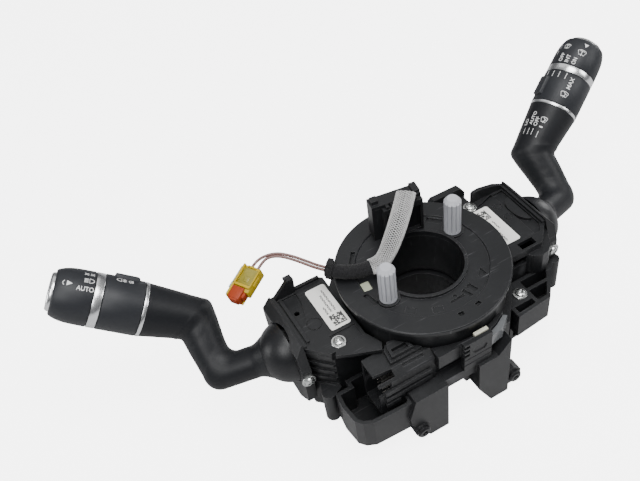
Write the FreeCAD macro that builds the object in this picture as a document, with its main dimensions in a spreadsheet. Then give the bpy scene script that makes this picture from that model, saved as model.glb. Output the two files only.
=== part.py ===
import FreeCAD, Part
import math
import os
import re

import Sketcher
from FreeCAD import Placement, Rotation, Vector

# Combination stalk switch with its spiral cable cassette, in millimetres.
# The column axis is Z and rises towards the driver. The origin is the centre
# of the column bore in the plane of the bracket feet. The wiper stalk is on
# the +X side, the light stalk on the -X side, the plug socket faces -X at
# the front, which is -Y.

doc = FreeCAD.newDocument("StalkSwitch")
sheet = doc.addObject("Spreadsheet::Sheet", "Sizes")

# Driving dimensions

SIZES = {
    # fits
    "running_gap": 0.4,
    "seat_gap": 0.3,
    "shaft_gap": 0.06,
    # rotor
    "disc_top": 75.0,
    "disc_radius": 50.0,
    "disc_thick": 3.0,
    "disc_step": 1.0,
    "mark_depth": 1.1,
    "step_radius": 37.5,
    "bore_radius": 24.0,
    "rim_width": 1.8,
    "rim_height": 0.8,
    "hub_wall": 2.2,
    "hub_length": 29.5,
    "gear_teeth": 58.0,
    "gear_module": 1.0,
    "gear_width": 6.0,
    "pinion_teeth": 14.0,
    "pinion_width": 5.0,
    "pinion_bore": 2.0,
    "pinion_spread": 20.0,
    "pin_circle": 31.0,
    "pin_angle": 20.8,
    "pin_radius": 5.0,
    "pin_height": 26.5,
    "pin_ribs": 12.0,
    "pin_rib_depth": 0.7,
    "pin_tip": 2.5,
    "socket_wall": 1.4,
    "socket_height": 1.6,
    # cassette
    "case_radius": 47.5,
    "case_height": 21.0,
    "case_wall": 1.8,
    "ribbon_turns": 7.0,
    "ribbon_inner": 29.5,
    "ribbon_pitch": 2.0,
    "ribbon_thick": 0.4,
    "ribbon_width": 14.0,
    # tower on the rotor
    "tower_turn": -9.4,
    "tower_left": 17.0,
    "tower_right": 13.0,
    "tower_front": 25.0,
    "tower_depth": 11.5,
    "tower_height": 24.0,
    "tower_wall": 1.6,
    "tower_cap": 2.4,
    # base
    "column_bore": 22.0,
    "collar_wall": 4.5,
    "base_margin": 0.8,
    "skirt_bottom": 15.0,
    "skirt_wall": 2.6,
    "deck_thick": 13.0,
    "gear_chamber": 10.2,
    "board_thick": 1.6,
    "bracket_wall": 2.2,
    "rib_width": 2.2,
    "tray_top": 38.0,
    "tray_wall": 2.2,
    "block_top": 45.0,
    "block_bottom": 27.0,
    "block_pocket": 12.0,
    # modules
    "case_outer": 82.0,
    "case_front": 19.0,
    "case_back": 33.0,
    "case_corner": 11.0,
    "case_bottom": 12.0,
    "module_wall": 2.4,
    "detent_face": 64.9,
    "detent_top": 57.0,
    "cover_top": 65.0,
    "cover_thick": 3.0,
    "frame_thick": 5.6,
    "ridge_width": 0.9,
    "frame_top": 68.0,
    "frame_front": 14.0,
    "label_length": 33.0,
    "label_inner": 50.6,
    "light_label_start": -6.2,
    "wiper_label_start": -9.5,
    "label_width": 12.5,
    "label_thick": 0.3,
    "label_sink": 0.2,
    # stalk pivot and dome
    "pivot_x": 84.5,
    "pivot_y": 9.0,
    "pivot_z": 47.0,
    "dome_radius": 18.5,
    "dome_wall": 1.6,
    "dome_cut": 2.0,
    "ring_y": 9.5,
    "ring_z": 11.8,
    "ring_x": 6.0,
    "ring_bar": 3.2,
    "trunnion_radius": 2.2,
    "trunnion_length": 2.6,
    "cross_pin": 2.0,
    "neck_pin": 3.4,
    "eye_radius": 4.1,
    "detent_arm": 11.0,
    "detent_radius": 4.2,
    "plunger_radius": 2.3,
    "plunger_out": 2.2,
    # stalk
    "elbow_low_x": 124.1,
    "elbow_low_y": 23.9,
    "elbow_low_z": 37.1,
    "elbow_high_x": 123.2,
    "elbow_high_y": 52.8,
    "elbow_high_z": 56.0,
    "stalk_azimuth": 24.0,
    "stalk_rise": 30.5,
    "flare_radius": 12.8,
    "root_radius": 9.5,
    "mid_radius": 10.1,
    "high_radius": 12.2,
    "neck_radius": 13.2,
    "body_radius": 15.5,
    "elbow_low_round": 10.0,
    "elbow_low_crease": 6.5,
    "elbow_high_round": 5.5,
    "elbow_high_crease": 3.0,
    "body_length": 31.2,
    "thin_ring": 2.0,
    "collar_length": 22.6,
    "thick_ring": 4.8,
    "knob_length": 21.0,
    "knob_tip_radius": 12.8,
    "collar_radius": 15.8,
    "ring_radius": 15.7,
    "core_radius": 6.0,
    "core_end": 12.0,
    "button_radius": 11.0,
    "button_proud": 2.2,
    "button_travel": 1.5,
    "spring_inner": 3.4,
    "spring_outer": 5.6,
    "spring_thick": 0.5,
    "lug_angle": 45.0,
    "lug_length": 14.0,
    "lug_width": 9.0,
    "lug_height": 1.6,
    # connector
    "shroud_left": 59.0,
    "shroud_right": 24.0,
    "shroud_back": 29.5,
    "shroud_top": 61.5,
    "shroud_bottom": 31.0,
    "shroud_wall": 1.7,
    "shroud_depth": 14.0,
    # front cover
    "panel_left": 9.6,
    "panel_right": 8.3,
    "panel_top": 64.0,
    "panel_bottom": 41.0,
    # screws
    "screw_head": 4.2,
    "screw_head_high": 2.4,
    "screw_shank": 1.6,
    "screw_length": 9.0,
    "side_screw_length": 5.0,
    # airbag lead
    "sleeve_width": 10.5,
    "sleeve_thick": 3.0,
    "loom_radius": 4.2,
    "wire_radius": 0.85,
    "wire_pair": 2.2,
    "wire_fan": 4.0,
    "plug_length": 16.0,
    "plug_width": 13.0,
    "plug_thick": 8.0,
    "lock_length": 7.0,
}

# Sizes that follow from the driving ones
LINKED = {
    "base_half": "case_radius + base_margin",
    "base_front": "case_radius - 1.5",
    "base_back": "case_radius - 3.5",
    "bracket_front": "case_radius + 8.5",
    "case_inner": "base_half + seat_gap",
    "shroud_front": "case_radius",
    "panel_front": "case_radius + 6.5",
}

cells = [(alias, str(number)) for alias, number in SIZES.items()]
cells += [(alias, "=" + formula) for alias, formula in LINKED.items()]
for row, (alias, content) in enumerate(cells, start=1):
    sheet.set("A%d" % row, alias)
    sheet.set("B%d" % row, content)
    sheet.setAlias("B%d" % row, alias)
doc.recompute()


def size(alias):
    """The number that the sheet holds for one named size."""
    return float(sheet.get(alias))


def bind(text):
    """An expression on the sheet, from words that are aliases there."""
    def word(match):
        name = match.group(0)
        return "Sizes." + name if name in SIZES or name in LINKED else name
    return re.sub(r"[a-z_][a-z_0-9]*", word, str(text))


# Building blocks

nodes = {}
cuts = []


class Piece:
    """One sub-part made as a PartDesign body, feature after feature."""

    def __init__(self, label, keep=True):
        self.body = doc.addObject("PartDesign::Body", label)
        self.body.Label = label
        if keep:
            nodes[label] = self.body

    def origin(self, role):
        for feature in self.body.Origin.OriginFeatures:
            if feature.Role == role:
                return feature

    def sketch(self, loops, role="XY_Plane", level="0", turn=None):
        drawing = self.body.newObject("Sketcher::SketchObject", "Sketch")
        drawing.AttachmentSupport = [(self.origin(role), "")]
        drawing.MapMode = "FlatFace"
        if turn is not None:
            drawing.AttachmentOffset = Placement(Vector(), Rotation(Vector(0, 0, 1), 1))
            drawing.setExpression("AttachmentOffset.Rotation.Angle", bind(turn))
        drawing.setExpression("AttachmentOffset.Base.z", bind(level))
        for loop in loops:
            if loop[0] == "circle":
                self.circle(drawing, *loop[1:])
            else:
                self.polygon(drawing, loop)
        return drawing

    def locate(self, drawing, geometry, point, across, up):
        for kind, text in (("DistanceX", across), ("DistanceY", up)):
            rule = Sketcher.Constraint(kind, -1, 1, geometry, point, 1.0)
            index = drawing.addConstraint(rule)
            drawing.setExpression("Constraints[%d]" % index, bind(text))

    def circle(self, drawing, across, up, radius):
        index = drawing.addGeometry(Part.Circle(Vector(1, 1, 0), Vector(0, 0, 1), 1.0), False)
        if (across, up) == ("0", "0"):
            drawing.addConstraint(Sketcher.Constraint("Coincident", index, 3, -1, 1))
        else:
            self.locate(drawing, index, 3, across, up)
        rule = drawing.addConstraint(Sketcher.Constraint("Radius", index, 1.0))
        drawing.setExpression("Constraints[%d]" % rule, bind(radius))

    def polygon(self, drawing, points):
        first = drawing.GeometryCount
        count = len(points)
        start = [Vector(math.cos(math.tau * i / count), math.sin(math.tau * i / count), 0)
                 for i in range(count)]
        for i in range(count):
            drawing.addGeometry(Part.LineSegment(start[i], start[(i + 1) % count]), False)
        for i in range(count):
            after = first + (i + 1) % count
            drawing.addConstraint(Sketcher.Constraint("Coincident", first + i, 2, after, 1))
        for i, (across, up) in enumerate(points):
            self.locate(drawing, first + i, 1, across, up)

    def extrude(self, loops, level, length, role="XY_Plane", cut=False, flip=False, turn=None):
        """Pad the loops from a level along the plane's normal, or cut against it."""
        drawing = self.sketch(loops, role, level, turn)
        before = self.body.Tip
        kind = "PartDesign::Pocket" if cut else "PartDesign::Pad"
        feature = self.body.newObject(kind, "Pocket" if cut else "Pad")
        feature.Profile = drawing
        feature.Reversed = flip
        feature.setExpression("Length", bind(length))
        if cut:
            cuts.append((feature, before))
        return feature

    def revolve(self, points, role="XZ_Plane", cut=False):
        drawing = self.sketch([points], role)
        before = self.body.Tip
        kind = "PartDesign::Groove" if cut else "PartDesign::Revolution"
        feature = self.body.newObject(kind, "Groove" if cut else "Revolution")
        feature.Profile = drawing
        feature.ReferenceAxis = (drawing, ["V_Axis"])
        feature.Angle = 360.0
        if cut:
            cuts.append((feature, before))
        return feature

    def repeat(self, feature, count):
        """Repeat one feature evenly round the body's own Z axis."""
        pattern = self.body.newObject("PartDesign::PolarPattern", "PolarPattern")
        pattern.Originals = [feature]
        pattern.Axis = (self.origin("Z_Axis"), [""])
        pattern.Angle = 360.0
        pattern.setExpression("Occurrences", bind(count))
        self.body.Tip = pattern
        return pattern

    def soften(self, radius, pick):
        """Round the edges of the last feature that the test picks."""
        doc.recompute()
        tip = self.body.Tip
        names = ["Edge%d" % (i + 1) for i, edge in enumerate(tip.Shape.Edges) if pick(edge)]
        fillet = self.body.newObject("PartDesign::Fillet", "Fillet")
        fillet.Base = (tip, names)
        fillet.setExpression("Radius", bind(radius))
        return fillet


def upright(edge):
    """True for a straight edge along Z."""
    if len(edge.Vertexes) < 2:
        return False
    a, b = edge.Vertexes[0].Point, edge.Vertexes[-1].Point
    return abs(a.x - b.x) < 1e-4 and abs(a.y - b.y) < 1e-4 and abs(a.z - b.z) > 1e-3


def mirrored(points, side):
    """Points given for the +X side, for the side asked for."""
    if side > 0:
        return points
    return [("-(%s)" % across, up) for across, up in points]


def box_points(left, right, low, high):
    return [(left, low), (right, low), (right, high), (left, high)]


def solid(label, shape, keep=True):
    """A sub-part whose shape is made with Part's own functions."""
    item = doc.addObject("Part::Feature", label)
    item.Label = label
    item.Shape = shape
    if keep:
        nodes[label] = item
    return item


def group(label, items):
    """Several like solids that share one node."""
    item = doc.addObject("Part::Compound", label)
    item.Label = label
    item.Links = items
    nodes[label] = item
    return item


def around(angle, out):
    """Point at an angle round the column, some way outside the cassette."""
    reach = "(case_radius + %s)" % out
    return ("%s * cos(%s * 1deg)" % (reach, angle), "%s * sin(%s * 1deg)" % (reach, angle))


DECK = "disc_top - disc_thick - running_gap - case_height"
SIDES = (("light", -1), ("wiper", 1))
RING_STEPS = 20


# Rotor

def rotor_disc():
    piece = Piece("rotor_disc")
    under = "disc_top - disc_thick"
    inner = "disc_top - disc_step"
    rim = "bore_radius + rim_width"
    piece.revolve([
        ("bore_radius", under),
        ("disc_radius - 0.6", under),
        ("disc_radius", under + " + 0.6"),
        ("disc_radius", "disc_top - 0.5"),
        ("disc_radius - 0.5", "disc_top"),
        ("step_radius + 0.6", "disc_top"),
        ("step_radius", inner),
        (rim, inner),
        (rim, "disc_top + rim_height"),
        ("bore_radius", "disc_top + rim_height"),
    ])
    for turn in ("pin_angle", "pin_angle + 180"):
        ring = "pin_radius + shaft_gap + socket_wall"
        piece.extrude([("circle", "pin_circle", "0", ring)], inner, "socket_height", turn=turn)
        piece.extrude([("circle", "pin_circle", "0", "pin_radius + shaft_gap")],
                      inner + " + socket_height", "socket_height", cut=True, turn=turn)
    seat = box_points("-tower_left - shaft_gap", "tower_right + shaft_gap",
                      "tower_front - shaft_gap", "tower_front + tower_depth + shaft_gap")
    piece.extrude([seat], "disc_top + rim_height", "rim_height + disc_step", cut=True,
                  turn="tower_turn")
    marks = [
        ("-46", [("32.2", "-3.4"), ("36.4", "0"), ("32.2", "3.4")]),
        ("-71", box_points("29.4", "35.6", "-3.6", "-1.4")),
        ("-71", box_points("29.4", "35.6", "0.4", "3.6")),
        ("-87", box_points("31.2", "32.8", "-4.4", "4.4")),
        ("-87", box_points("28.8", "30.4", "-1", "1")),
        ("-94.4", box_points("40.8", "43.2", "-1.6", "1.6")),
        ("-78.7", box_points("40.8", "43.2", "-1.6", "1.6")),
        ("190", box_points("36.2", "39.6", "-5", "5")),
        ("142", box_points("38.8", "41.2", "-6.4", "6.4")),
        ("153", box_points("33.4", "36.4", "-3", "3")),
        ("44", box_points("33", "36.6", "-5", "5")),
        ("61", box_points("34.2", "37", "-2.2", "2.2")),
    ]
    for turn, loop in marks:
        piece.extrude([loop], "disc_top + rim_height", "rim_height + disc_step + mark_depth",
                      cut=True, turn=turn)
    for turn in ("174", "-109", "-134"):
        pad = box_points("31.8", "36", "-3", "3")
        piece.extrude([pad], "disc_top", "disc_step + 0.5", cut=True, turn=turn)
    piece.extrude([box_points("32.6", "35.2", "-2.2", "2.2")], inner + " - 0.6", "0.4",
                  turn="174")


def gear_profile(teeth):
    """Outline of a straight-toothed wheel, centred, first tooth on +X."""
    module = size("gear_module")
    pitch = teeth * module / 2
    tip = pitch + 0.55 * module
    foot = pitch - 0.95 * module
    points = []
    for i in range(int(teeth)):
        middle = math.tau * i / teeth
        for radius, spread in ((foot, -0.6), (tip, -0.2), (tip, 0.2), (foot, 0.6)):
            angle = middle + math.pi / teeth * spread
            points.append(Vector(radius * math.cos(angle), radius * math.sin(angle), 0))
    return Part.makePolygon(points + points[:1])


def rotor_hub():
    top = size("disc_top") - size("disc_thick")
    bottom = top - size("hub_length")
    bore = size("bore_radius")
    tube = Part.makeCylinder(bore + size("hub_wall"), size("hub_length"), Vector(0, 0, bottom))
    wheel = Part.Face(gear_profile(size("gear_teeth")))
    wheel.translate(Vector(0, 0, bottom))
    shape = tube.fuse(wheel.extrude(Vector(0, 0, size("gear_width"))))
    shape = shape.cut(Part.makeCylinder(bore, size("hub_length"), Vector(0, 0, bottom)))
    solid("rotor_hub", shape.removeSplitter())


def pinion_place(side):
    distance = (size("gear_teeth") + size("pinion_teeth")) * size("gear_module") / 2
    turn = math.radians(-90 + side * size("pinion_spread"))
    return Vector(distance * math.cos(turn), distance * math.sin(turn), 0)


def sensor_pinions():
    floor = size("disc_top") - size("disc_thick") - size("running_gap") - size("case_height")
    floor += size("board_thick") - size("gear_chamber")
    for name, side in (("sensor_pinion_a", -1), ("sensor_pinion_b", 1)):
        place = pinion_place(side)
        gear_step = 360 / size("gear_teeth")
        toward = math.degrees(math.atan2(place.y, place.x))
        offset = (toward % gear_step) / gear_step
        own_step = 360 / size("pinion_teeth")
        turn = toward + 180 + own_step * (offset - 0.5)
        wheel = Part.Face(gear_profile(size("pinion_teeth")))
        shape = wheel.extrude(Vector(0, 0, size("pinion_width")))
        bore = size("pinion_bore") + size("shaft_gap")
        shape = shape.cut(Part.makeCylinder(bore, size("pinion_width")))
        item = solid(name, shape)
        base = place + Vector(0, 0, floor + size("seat_gap"))
        item.Placement = Placement(base, Rotation(Vector(0, 0, 1), turn))


def drive_pins():
    pins = []
    for name, turn in (("drive_pin_right", 0), ("drive_pin_left", 180)):
        piece = Piece(name, keep=False)
        flute = piece.extrude
        piece.revolve([
            ("0", "0"),
            ("pin_radius", "0"),
            ("pin_radius", "pin_height - pin_tip"),
            ("pin_radius * 0.62", "pin_height"),
            ("0", "pin_height"),
        ])
        groove = flute([[("pin_radius - pin_rib_depth", "0"),
                         ("pin_radius + 1", "-0.95"),
                         ("pin_radius + 1", "0.95")]],
                       "pin_height - 0.01", "pin_height - 3", cut=True)
        piece.repeat(groove, "pin_ribs")
        angle = math.radians(size("pin_angle") + turn)
        base = Vector(size("pin_circle") * math.cos(angle), size("pin_circle") * math.sin(angle),
                      size("disc_top") - size("disc_step"))
        piece.body.Placement = Placement(base, Rotation(Vector(0, 0, 1), size("pin_angle")))
        pins.append(piece.body)
    group("drive_pins", pins)


def connector_tower():
    piece = Piece("connector_tower")
    foot = "disc_top - disc_step"
    back = "tower_front + tower_depth"
    piece.extrude([[
        ("-tower_left", "tower_front + 3"),
        ("-tower_left + 6", "tower_front + 3"),
        ("-tower_left + 6", "tower_front"),
        ("tower_right", "tower_front"),
        ("tower_right", back),
        ("-tower_left", back),
    ]], foot, "tower_height")
    top = foot + " + tower_height"
    piece.extrude([box_points("-tower_left + 7.6", "tower_right - tower_wall",
                              "tower_front - 1", "tower_front + 2.2")],
                  foot + " + tower_height - 4", "tower_height - 6", cut=True)
    for slot in range(5):
        left = "-tower_left + %s" % (8.2 + 3.9 * slot)
        piece.extrude([box_points(left, left + " + 2.3", "tower_front + 3.6",
                                  "tower_front + tower_depth - 2.4")],
                      top, "8", cut=True)
    piece.extrude([box_points("-tower_left + 1.4", "-tower_left + 4.6",
                              "tower_front + 4.6", "tower_front + tower_depth - 1.6")],
                  top, "12", cut=True)
    piece.body.Placement = Placement(Vector(), Rotation(Vector(0, 0, 1), size("tower_turn")))


def tower_cap():
    piece = Piece("tower_cap")
    seat = "disc_top - disc_step + tower_height"
    piece.extrude([box_points("-tower_left", "tower_right", "tower_front + 3",
                              "tower_front + tower_depth")], seat, "tower_cap")
    piece.extrude([box_points("-tower_left + 1", "-tower_left + 5", "tower_front + 5",
                              "tower_front + 9.5")], seat + " + tower_cap", "2.6")
    teeth = []
    for tooth in range(6):
        left = "-tower_left + %s" % (8 + 3.4 * tooth)
        teeth.append(box_points(left, left + " + 1.8", "tower_front + 0.6",
                                "tower_front + 3.6"))
    piece.extrude(teeth, seat, "tower_cap - 0.6")
    piece.extrude([box_points("tower_right - 4", "tower_right", "tower_front + 4",
                              "tower_front + tower_depth")], seat + " + tower_cap", "1.6")
    piece.body.Placement = Placement(Vector(), Rotation(Vector(0, 0, 1), size("tower_turn")))


# Cassette

def spring_case():
    piece = Piece("spring_case")
    hole = "bore_radius + hub_wall + running_gap"
    floor = DECK
    piece.revolve([
        (hole, floor),
        ("case_radius", floor),
        ("case_radius", floor + " + case_height"),
        ("case_radius - case_wall", floor + " + case_height"),
        ("case_radius - case_wall", floor + " + case_wall"),
        (hole + " + case_wall", floor + " + case_wall"),
        (hole + " + case_wall", floor + " + case_wall + 2"),
        (hole, floor + " + case_wall + 2"),
    ])


def spiral_ribbon():
    """A flat cable wound as half circles, each a quarter pitch further out."""
    pitch = size("ribbon_pitch")
    thick = size("ribbon_thick")
    steps = int(2 * size("ribbon_turns"))
    floor = size("disc_top") - size("disc_thick") - size("running_gap") - size("case_height")
    level = floor + size("case_wall")

    def winding(start):
        arcs = []
        radius = start
        centre = 0.0
        sign = 1
        for _ in range(steps):
            left = Vector(centre + sign * radius, 0, level)
            middle = Vector(centre, sign * radius, level)
            right = Vector(centre - sign * radius, 0, level)
            arcs.append(Part.Arc(left, middle, right).toShape())
            radius += pitch / 4
            centre += sign * pitch / 4
            sign = -sign
        return arcs

    inside = winding(size("ribbon_inner"))
    outside = winding(size("ribbon_inner") + thick)
    ends = [Part.LineSegment(inside[0].Vertexes[0].Point, outside[0].Vertexes[0].Point),
            Part.LineSegment(inside[-1].Vertexes[-1].Point, outside[-1].Vertexes[-1].Point)]
    edges = inside + outside + [end.toShape() for end in ends]
    wire = Part.Wire(Part.__sortEdges__(edges))
    solid("spiral_ribbon", Part.Face(wire).extrude(Vector(0, 0, size("ribbon_width"))))


def angle_board():
    """The circuit board of the angle sensor, lying under the gear wheels."""
    piece = Piece("angle_sensor_board")
    floor = DECK + " - gear_chamber"
    piece.extrude([box_points("-17", "17", "-41", "-29")], floor, "board_thick")
    for side in ("-1", "1"):
        reach = "(gear_teeth + pinion_teeth) * gear_module / 2"
        across = "%s * %s * sin(pinion_spread * 1deg)" % (side, reach)
        up = "-%s * cos(pinion_spread * 1deg)" % reach
        piece.extrude([("circle", across, up, "pinion_bore")], floor + " + board_thick",
                      "pinion_width")


# Base

def base_housing():
    piece = Piece("base_housing")
    deck = DECK
    bottom = "skirt_bottom"
    outline = [
        ("-base_half", "-19.6"), ("-case_radius + 5.1", "-27.4"), around("-138.7", "1"),
        ("-shroud_right + seat_gap", "-case_radius + 5.3"),
        ("-shroud_right + seat_gap", "-base_front"),
        ("27", "-base_front"), around("-37.4", "3.5"), ("base_half", "-19.6"),
        ("base_half", "30"), ("36", "base_back"), ("-36", "base_back"), ("-base_half", "30"),
    ]
    inner = [
        ("-base_half + skirt_wall", "-18.6"), ("-case_radius + 6.9", "-25.4"),
        around("-139.6", "-1.5"),
        ("-shroud_right + seat_gap + skirt_wall", "-case_radius + 7.1"),
        ("-shroud_right + seat_gap + skirt_wall", "-base_front + skirt_wall"),
        ("25.6", "-base_front + skirt_wall"), around("-37.6", "1"),
        ("base_half - skirt_wall", "-18.6"),
        ("base_half - skirt_wall", "28.8"), ("34.9", "base_back - skirt_wall"),
        ("-34.9", "base_back - skirt_wall"), ("-base_half + skirt_wall", "28.8"),
    ]
    piece.extrude([outline], bottom, deck + " - skirt_bottom")
    piece.extrude([inner], bottom, deck + " - deck_thick - skirt_bottom", cut=True, flip=True)
    piece.extrude([("circle", "0", "0", "column_bore + collar_wall")], "0",
                  deck + " - deck_thick + 1")
    rib = piece.extrude([box_points("column_bore + 1", "base_back - 1", "-rib_width / 2",
                                    "rib_width / 2")],
                        bottom + " + 5", deck + " - deck_thick - skirt_bottom - 4")
    piece.repeat(rib, "8")
    # front brackets, hollow from below
    left = [("-42.4", "41"), ("-46.4", "27"), ("-46", "21.4"), ("-34", "0"), ("-21.4", "0"),
            ("-21.4", "41")]
    right = [("-0.8", "41"), ("-0.4", "17.6"), ("8.6", "0"), ("20.6", "0"), ("20.6", "50.6"),
             ("12", "41")]
    band = box_points("-23", "7", "33", "panel_bottom - seat_gap")
    depth = "bracket_front - base_front + skirt_wall"
    piece.extrude([left], "bracket_front", depth, role="XZ_Plane", flip=True)
    piece.extrude([right], "bracket_front", depth, role="XZ_Plane", flip=True)
    piece.extrude([band], "bracket_front - 3", "bracket_front - 3 - base_front + skirt_wall",
                  role="XZ_Plane", flip=True)
    hollow_back = "-base_front - 1"
    hollow_front = "-bracket_front + bracket_wall"
    piece.extrude([box_points("-34 + bracket_wall", "-21.4 - bracket_wall", hollow_front,
                              hollow_back),
                   box_points("8.6 + bracket_wall", "20.6 - bracket_wall", hollow_front,
                              hollow_back)],
                  "0", "28", cut=True, flip=True)
    # cable tray at the front left, open above and towards the plug socket
    tray = [("-66.6", "-20.9"), ("-66.6", "-25.4"), ("-75.2", "-25.4"), ("-76.3", "-34.6"),
            ("-75.1", "-46.2"), ("-72", "-50"), ("-66.6", "-52.5"), ("-45.2", "-53.4"),
            ("-40", "-52"), ("-40", "-46"), ("-40.6", "-28.9"), ("-46.2", "-20.9")]
    piece.extrude([tray], bottom, "tray_top - skirt_bottom")
    well = [("-66.6 + tray_wall", "-20.9 - tray_wall"), ("-66.6 + tray_wall", "-25.4 - tray_wall"),
            ("-75.4 + tray_wall", "-25.4 - tray_wall"), ("-76.3 + tray_wall", "-34.6"),
            ("-75.1 + tray_wall", "-45.4"), ("-70.9", "-48.3"),
            ("-66.4", "-52.5 + tray_wall"), ("-45.4", "-53.4 + tray_wall"),
            ("-42 - tray_wall", "-52 + tray_wall"), ("-42 - tray_wall", "-31"),
            ("-50.4", "-20.9 - tray_wall")]
    piece.extrude([well], "tray_top", "tray_top - skirt_bottom - tray_wall", cut=True)
    # block at the front right with four pockets
    block = [("36", "-43.5"), ("60", "-41.5"), ("79", "-20.9"), ("46", "-20.9"),
             ("36", "-30")]
    piece.extrude([block], "block_bottom", "block_top - block_bottom")
    foot = [("36", "-37"), ("57", "-35.5"), ("65", "-25"), ("65", "-20.9"), ("46", "-20.9"),
            ("36", "-30")]
    piece.extrude([foot], bottom, "block_bottom - skirt_bottom")
    pockets = [
        [("52.6", "-39.6"), ("59.2", "-39.2"), ("66", "-31.2"), ("52.6", "-31.2")],
        [("52.6", "-29.2"), ("67.4", "-29.2"), ("72.2", "-23.1"), ("52.6", "-23.1")],
        [("38.2", "-41"), ("50.4", "-40.2"), ("50.4", "-36.6"), ("38.2", "-36.6")],
    ]
    piece.extrude(pockets, "block_top", "block_pocket", cut=True)
    slots = [box_points("%s" % x, "%s + 4.6" % x, bottom + " + 2", "block_bottom - 2")
             for x in (38.5, 45.0, 51.5)]
    piece.extrude(slots, "39", "8", role="XZ_Plane", cut=True)
    # bosses for the two black screws
    piece.extrude([("circle", "-39.6", "11.5", "4.6")], "bracket_front + 1", "9",
                  role="XZ_Plane", flip=True)
    piece.extrude([[("19", "14"), ("19", "2"), ("25", "2"), ("31", "6"), ("31", "11"),
                    ("26", "16")]], "bracket_front - 2", "8", role="XZ_Plane", flip=True)
    # bore, gear chamber and screw holes
    piece.extrude([("circle", "0", "0", "column_bore")], deck, deck + " + 1", cut=True)
    reach = "(gear_teeth + pinion_teeth) * gear_module / 2"
    gear_room = "gear_teeth * gear_module / 2 + gear_module"
    pinion_room = "pinion_teeth * gear_module / 2 + gear_module"
    piece.extrude([("circle", "0", "0", gear_room)], deck, "gear_chamber", cut=True)
    rooms = []
    for sign in ("-1", "1"):
        rooms.append(("circle", "%s * %s * sin(pinion_spread * 1deg)" % (sign, reach),
                      "-%s * cos(pinion_spread * 1deg)" % reach, pinion_room))
    piece.extrude(rooms, deck, "gear_chamber", cut=True)
    piece.extrude([box_points("-17.3", "17.3", "-41.3", "-28.7")], deck, "gear_chamber",
                  cut=True)
    pilot = "screw_shank + shaft_gap"
    piece.extrude([("circle", "-39.6", "11.5", pilot), ("circle", "26", "8.5", pilot)],
                  "bracket_front + 2", "screw_length + 3", role="XZ_Plane", cut=True)
    piece.extrude([("circle", "46.9", "-30.4", pilot)], "block_top", "screw_length", cut=True)
    # seat of the plug socket
    seat = [("-60", "-shroud_back + seat_gap"), ("-60", "-shroud_front - seat_gap"),
            ("-shroud_right + seat_gap", "-shroud_front - seat_gap"),
            ("-shroud_right + seat_gap", "-case_radius + 5.3"), around("-138.5", "1.1"),
            ("-case_radius + 4.7", "-shroud_back + seat_gap")]
    piece.extrude([seat], "shroud_top", "shroud_top - shroud_bottom", cut=True)
    window = [("-19", "13"), ("-1", "13"), ("-3.6", "18"), ("-3.6", "27"), ("-8", "31"),
              ("-19", "31")]
    piece.extrude([window], "bracket_front", "bracket_front - base_front + skirt_wall + 1",
                  role="XZ_Plane", cut=True)


# Switch modules

def module_outline(gap="0"):
    back = "case_back - %s" % gap
    return [
        ("case_inner", "-case_front"),
        ("case_outer - case_corner - %s" % gap, "-case_front"),
        ("case_outer - %s" % gap, "-case_front + case_corner"),
        ("case_outer - %s" % gap, back),
        ("case_inner + 2", back),
        ("case_inner", "case_back - 2"),
    ]


def cover_screw(side):
    """Place of the one cover screw of each module, in the plan."""
    return ("54", "28") if side > 0 else ("-63.6", "-14.6")


def module_case(name, side):
    """Tray of one switch module, closed by its cover, with vents and a detent track."""
    piece = Piece(name + "_module_case")
    seat = "cover_top - cover_thick"
    piece.extrude([mirrored(module_outline(), side)], "case_bottom", seat + " - case_bottom")
    flip = side < 0
    hollow = mirrored([
        ("case_inner + module_wall", "-case_front + module_wall"),
        ("case_outer - case_corner - 0.414 * module_wall", "-case_front + module_wall"),
        ("case_outer - module_wall", "-case_front + case_corner + 0.414 * module_wall"),
        ("case_outer - module_wall", "case_back - module_wall"),
        ("case_inner + module_wall", "case_back - module_wall"),
    ], side)
    piece.extrude([hollow], seat, seat + " - case_bottom - module_wall", cut=True)
    block = box_points("56", "detent_face", "pivot_y - 9", "pivot_y + 9")
    piece.extrude([mirrored(block, side)], "case_bottom", "detent_top - case_bottom")
    notches = []
    for step in range(-2, 3):
        middle = "pivot_y + %s" % (1.8 * step)
        notches.append(mirrored([("detent_face + 0.5", middle + " - 0.8"),
                                 ("detent_face + 0.5", middle + " + 0.8"),
                                 ("detent_face - 0.7", middle)], side))
    piece.extrude(notches, "pivot_z + 4", "8", cut=True)
    across, up = cover_screw(side)
    piece.extrude([("circle", across, up, "4")], "case_bottom", seat + " - case_bottom")
    # window for the detent arm and the swinging carrier
    piece.extrude([box_points("pivot_y - ring_y - 3", "pivot_y + ring_y + 3",
                              "pivot_z - ring_z - seat_gap", "pivot_z + ring_z + seat_gap")],
                  "%d * case_outer" % side, "module_wall + 1", role="YZ_Plane", cut=True,
                  flip=flip)
    if side < 0:
        louvres(piece, seat)
    else:
        # smooth outer corner, and the two openings before the cover's front edge
        bulge = [("60", "-case_front"), ("62.5", "-22.2"), ("67.4", "-24.4"), ("72", "-23.6"),
                 ("75.8", "-20.8"), ("78.4", "-17.4"), ("80.1", "-13.4"), ("case_outer", "-10.6"),
                 ("case_outer", "-case_front + case_corner"),
                 ("case_outer - case_corner", "-case_front")]
        piece.extrude([bulge], "block_top + seat_gap", seat + " - block_top - seat_gap - 1.4")
        mouth = box_points("case_inner + 2", "60", "54", "59.6")
        piece.extrude([mouth], "case_front", "module_wall", role="XZ_Plane", cut=True)
    piece.extrude([("circle", across, up, "screw_shank + shaft_gap")], seat,
                  "screw_length - cover_thick + 2", cut=True)


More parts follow.
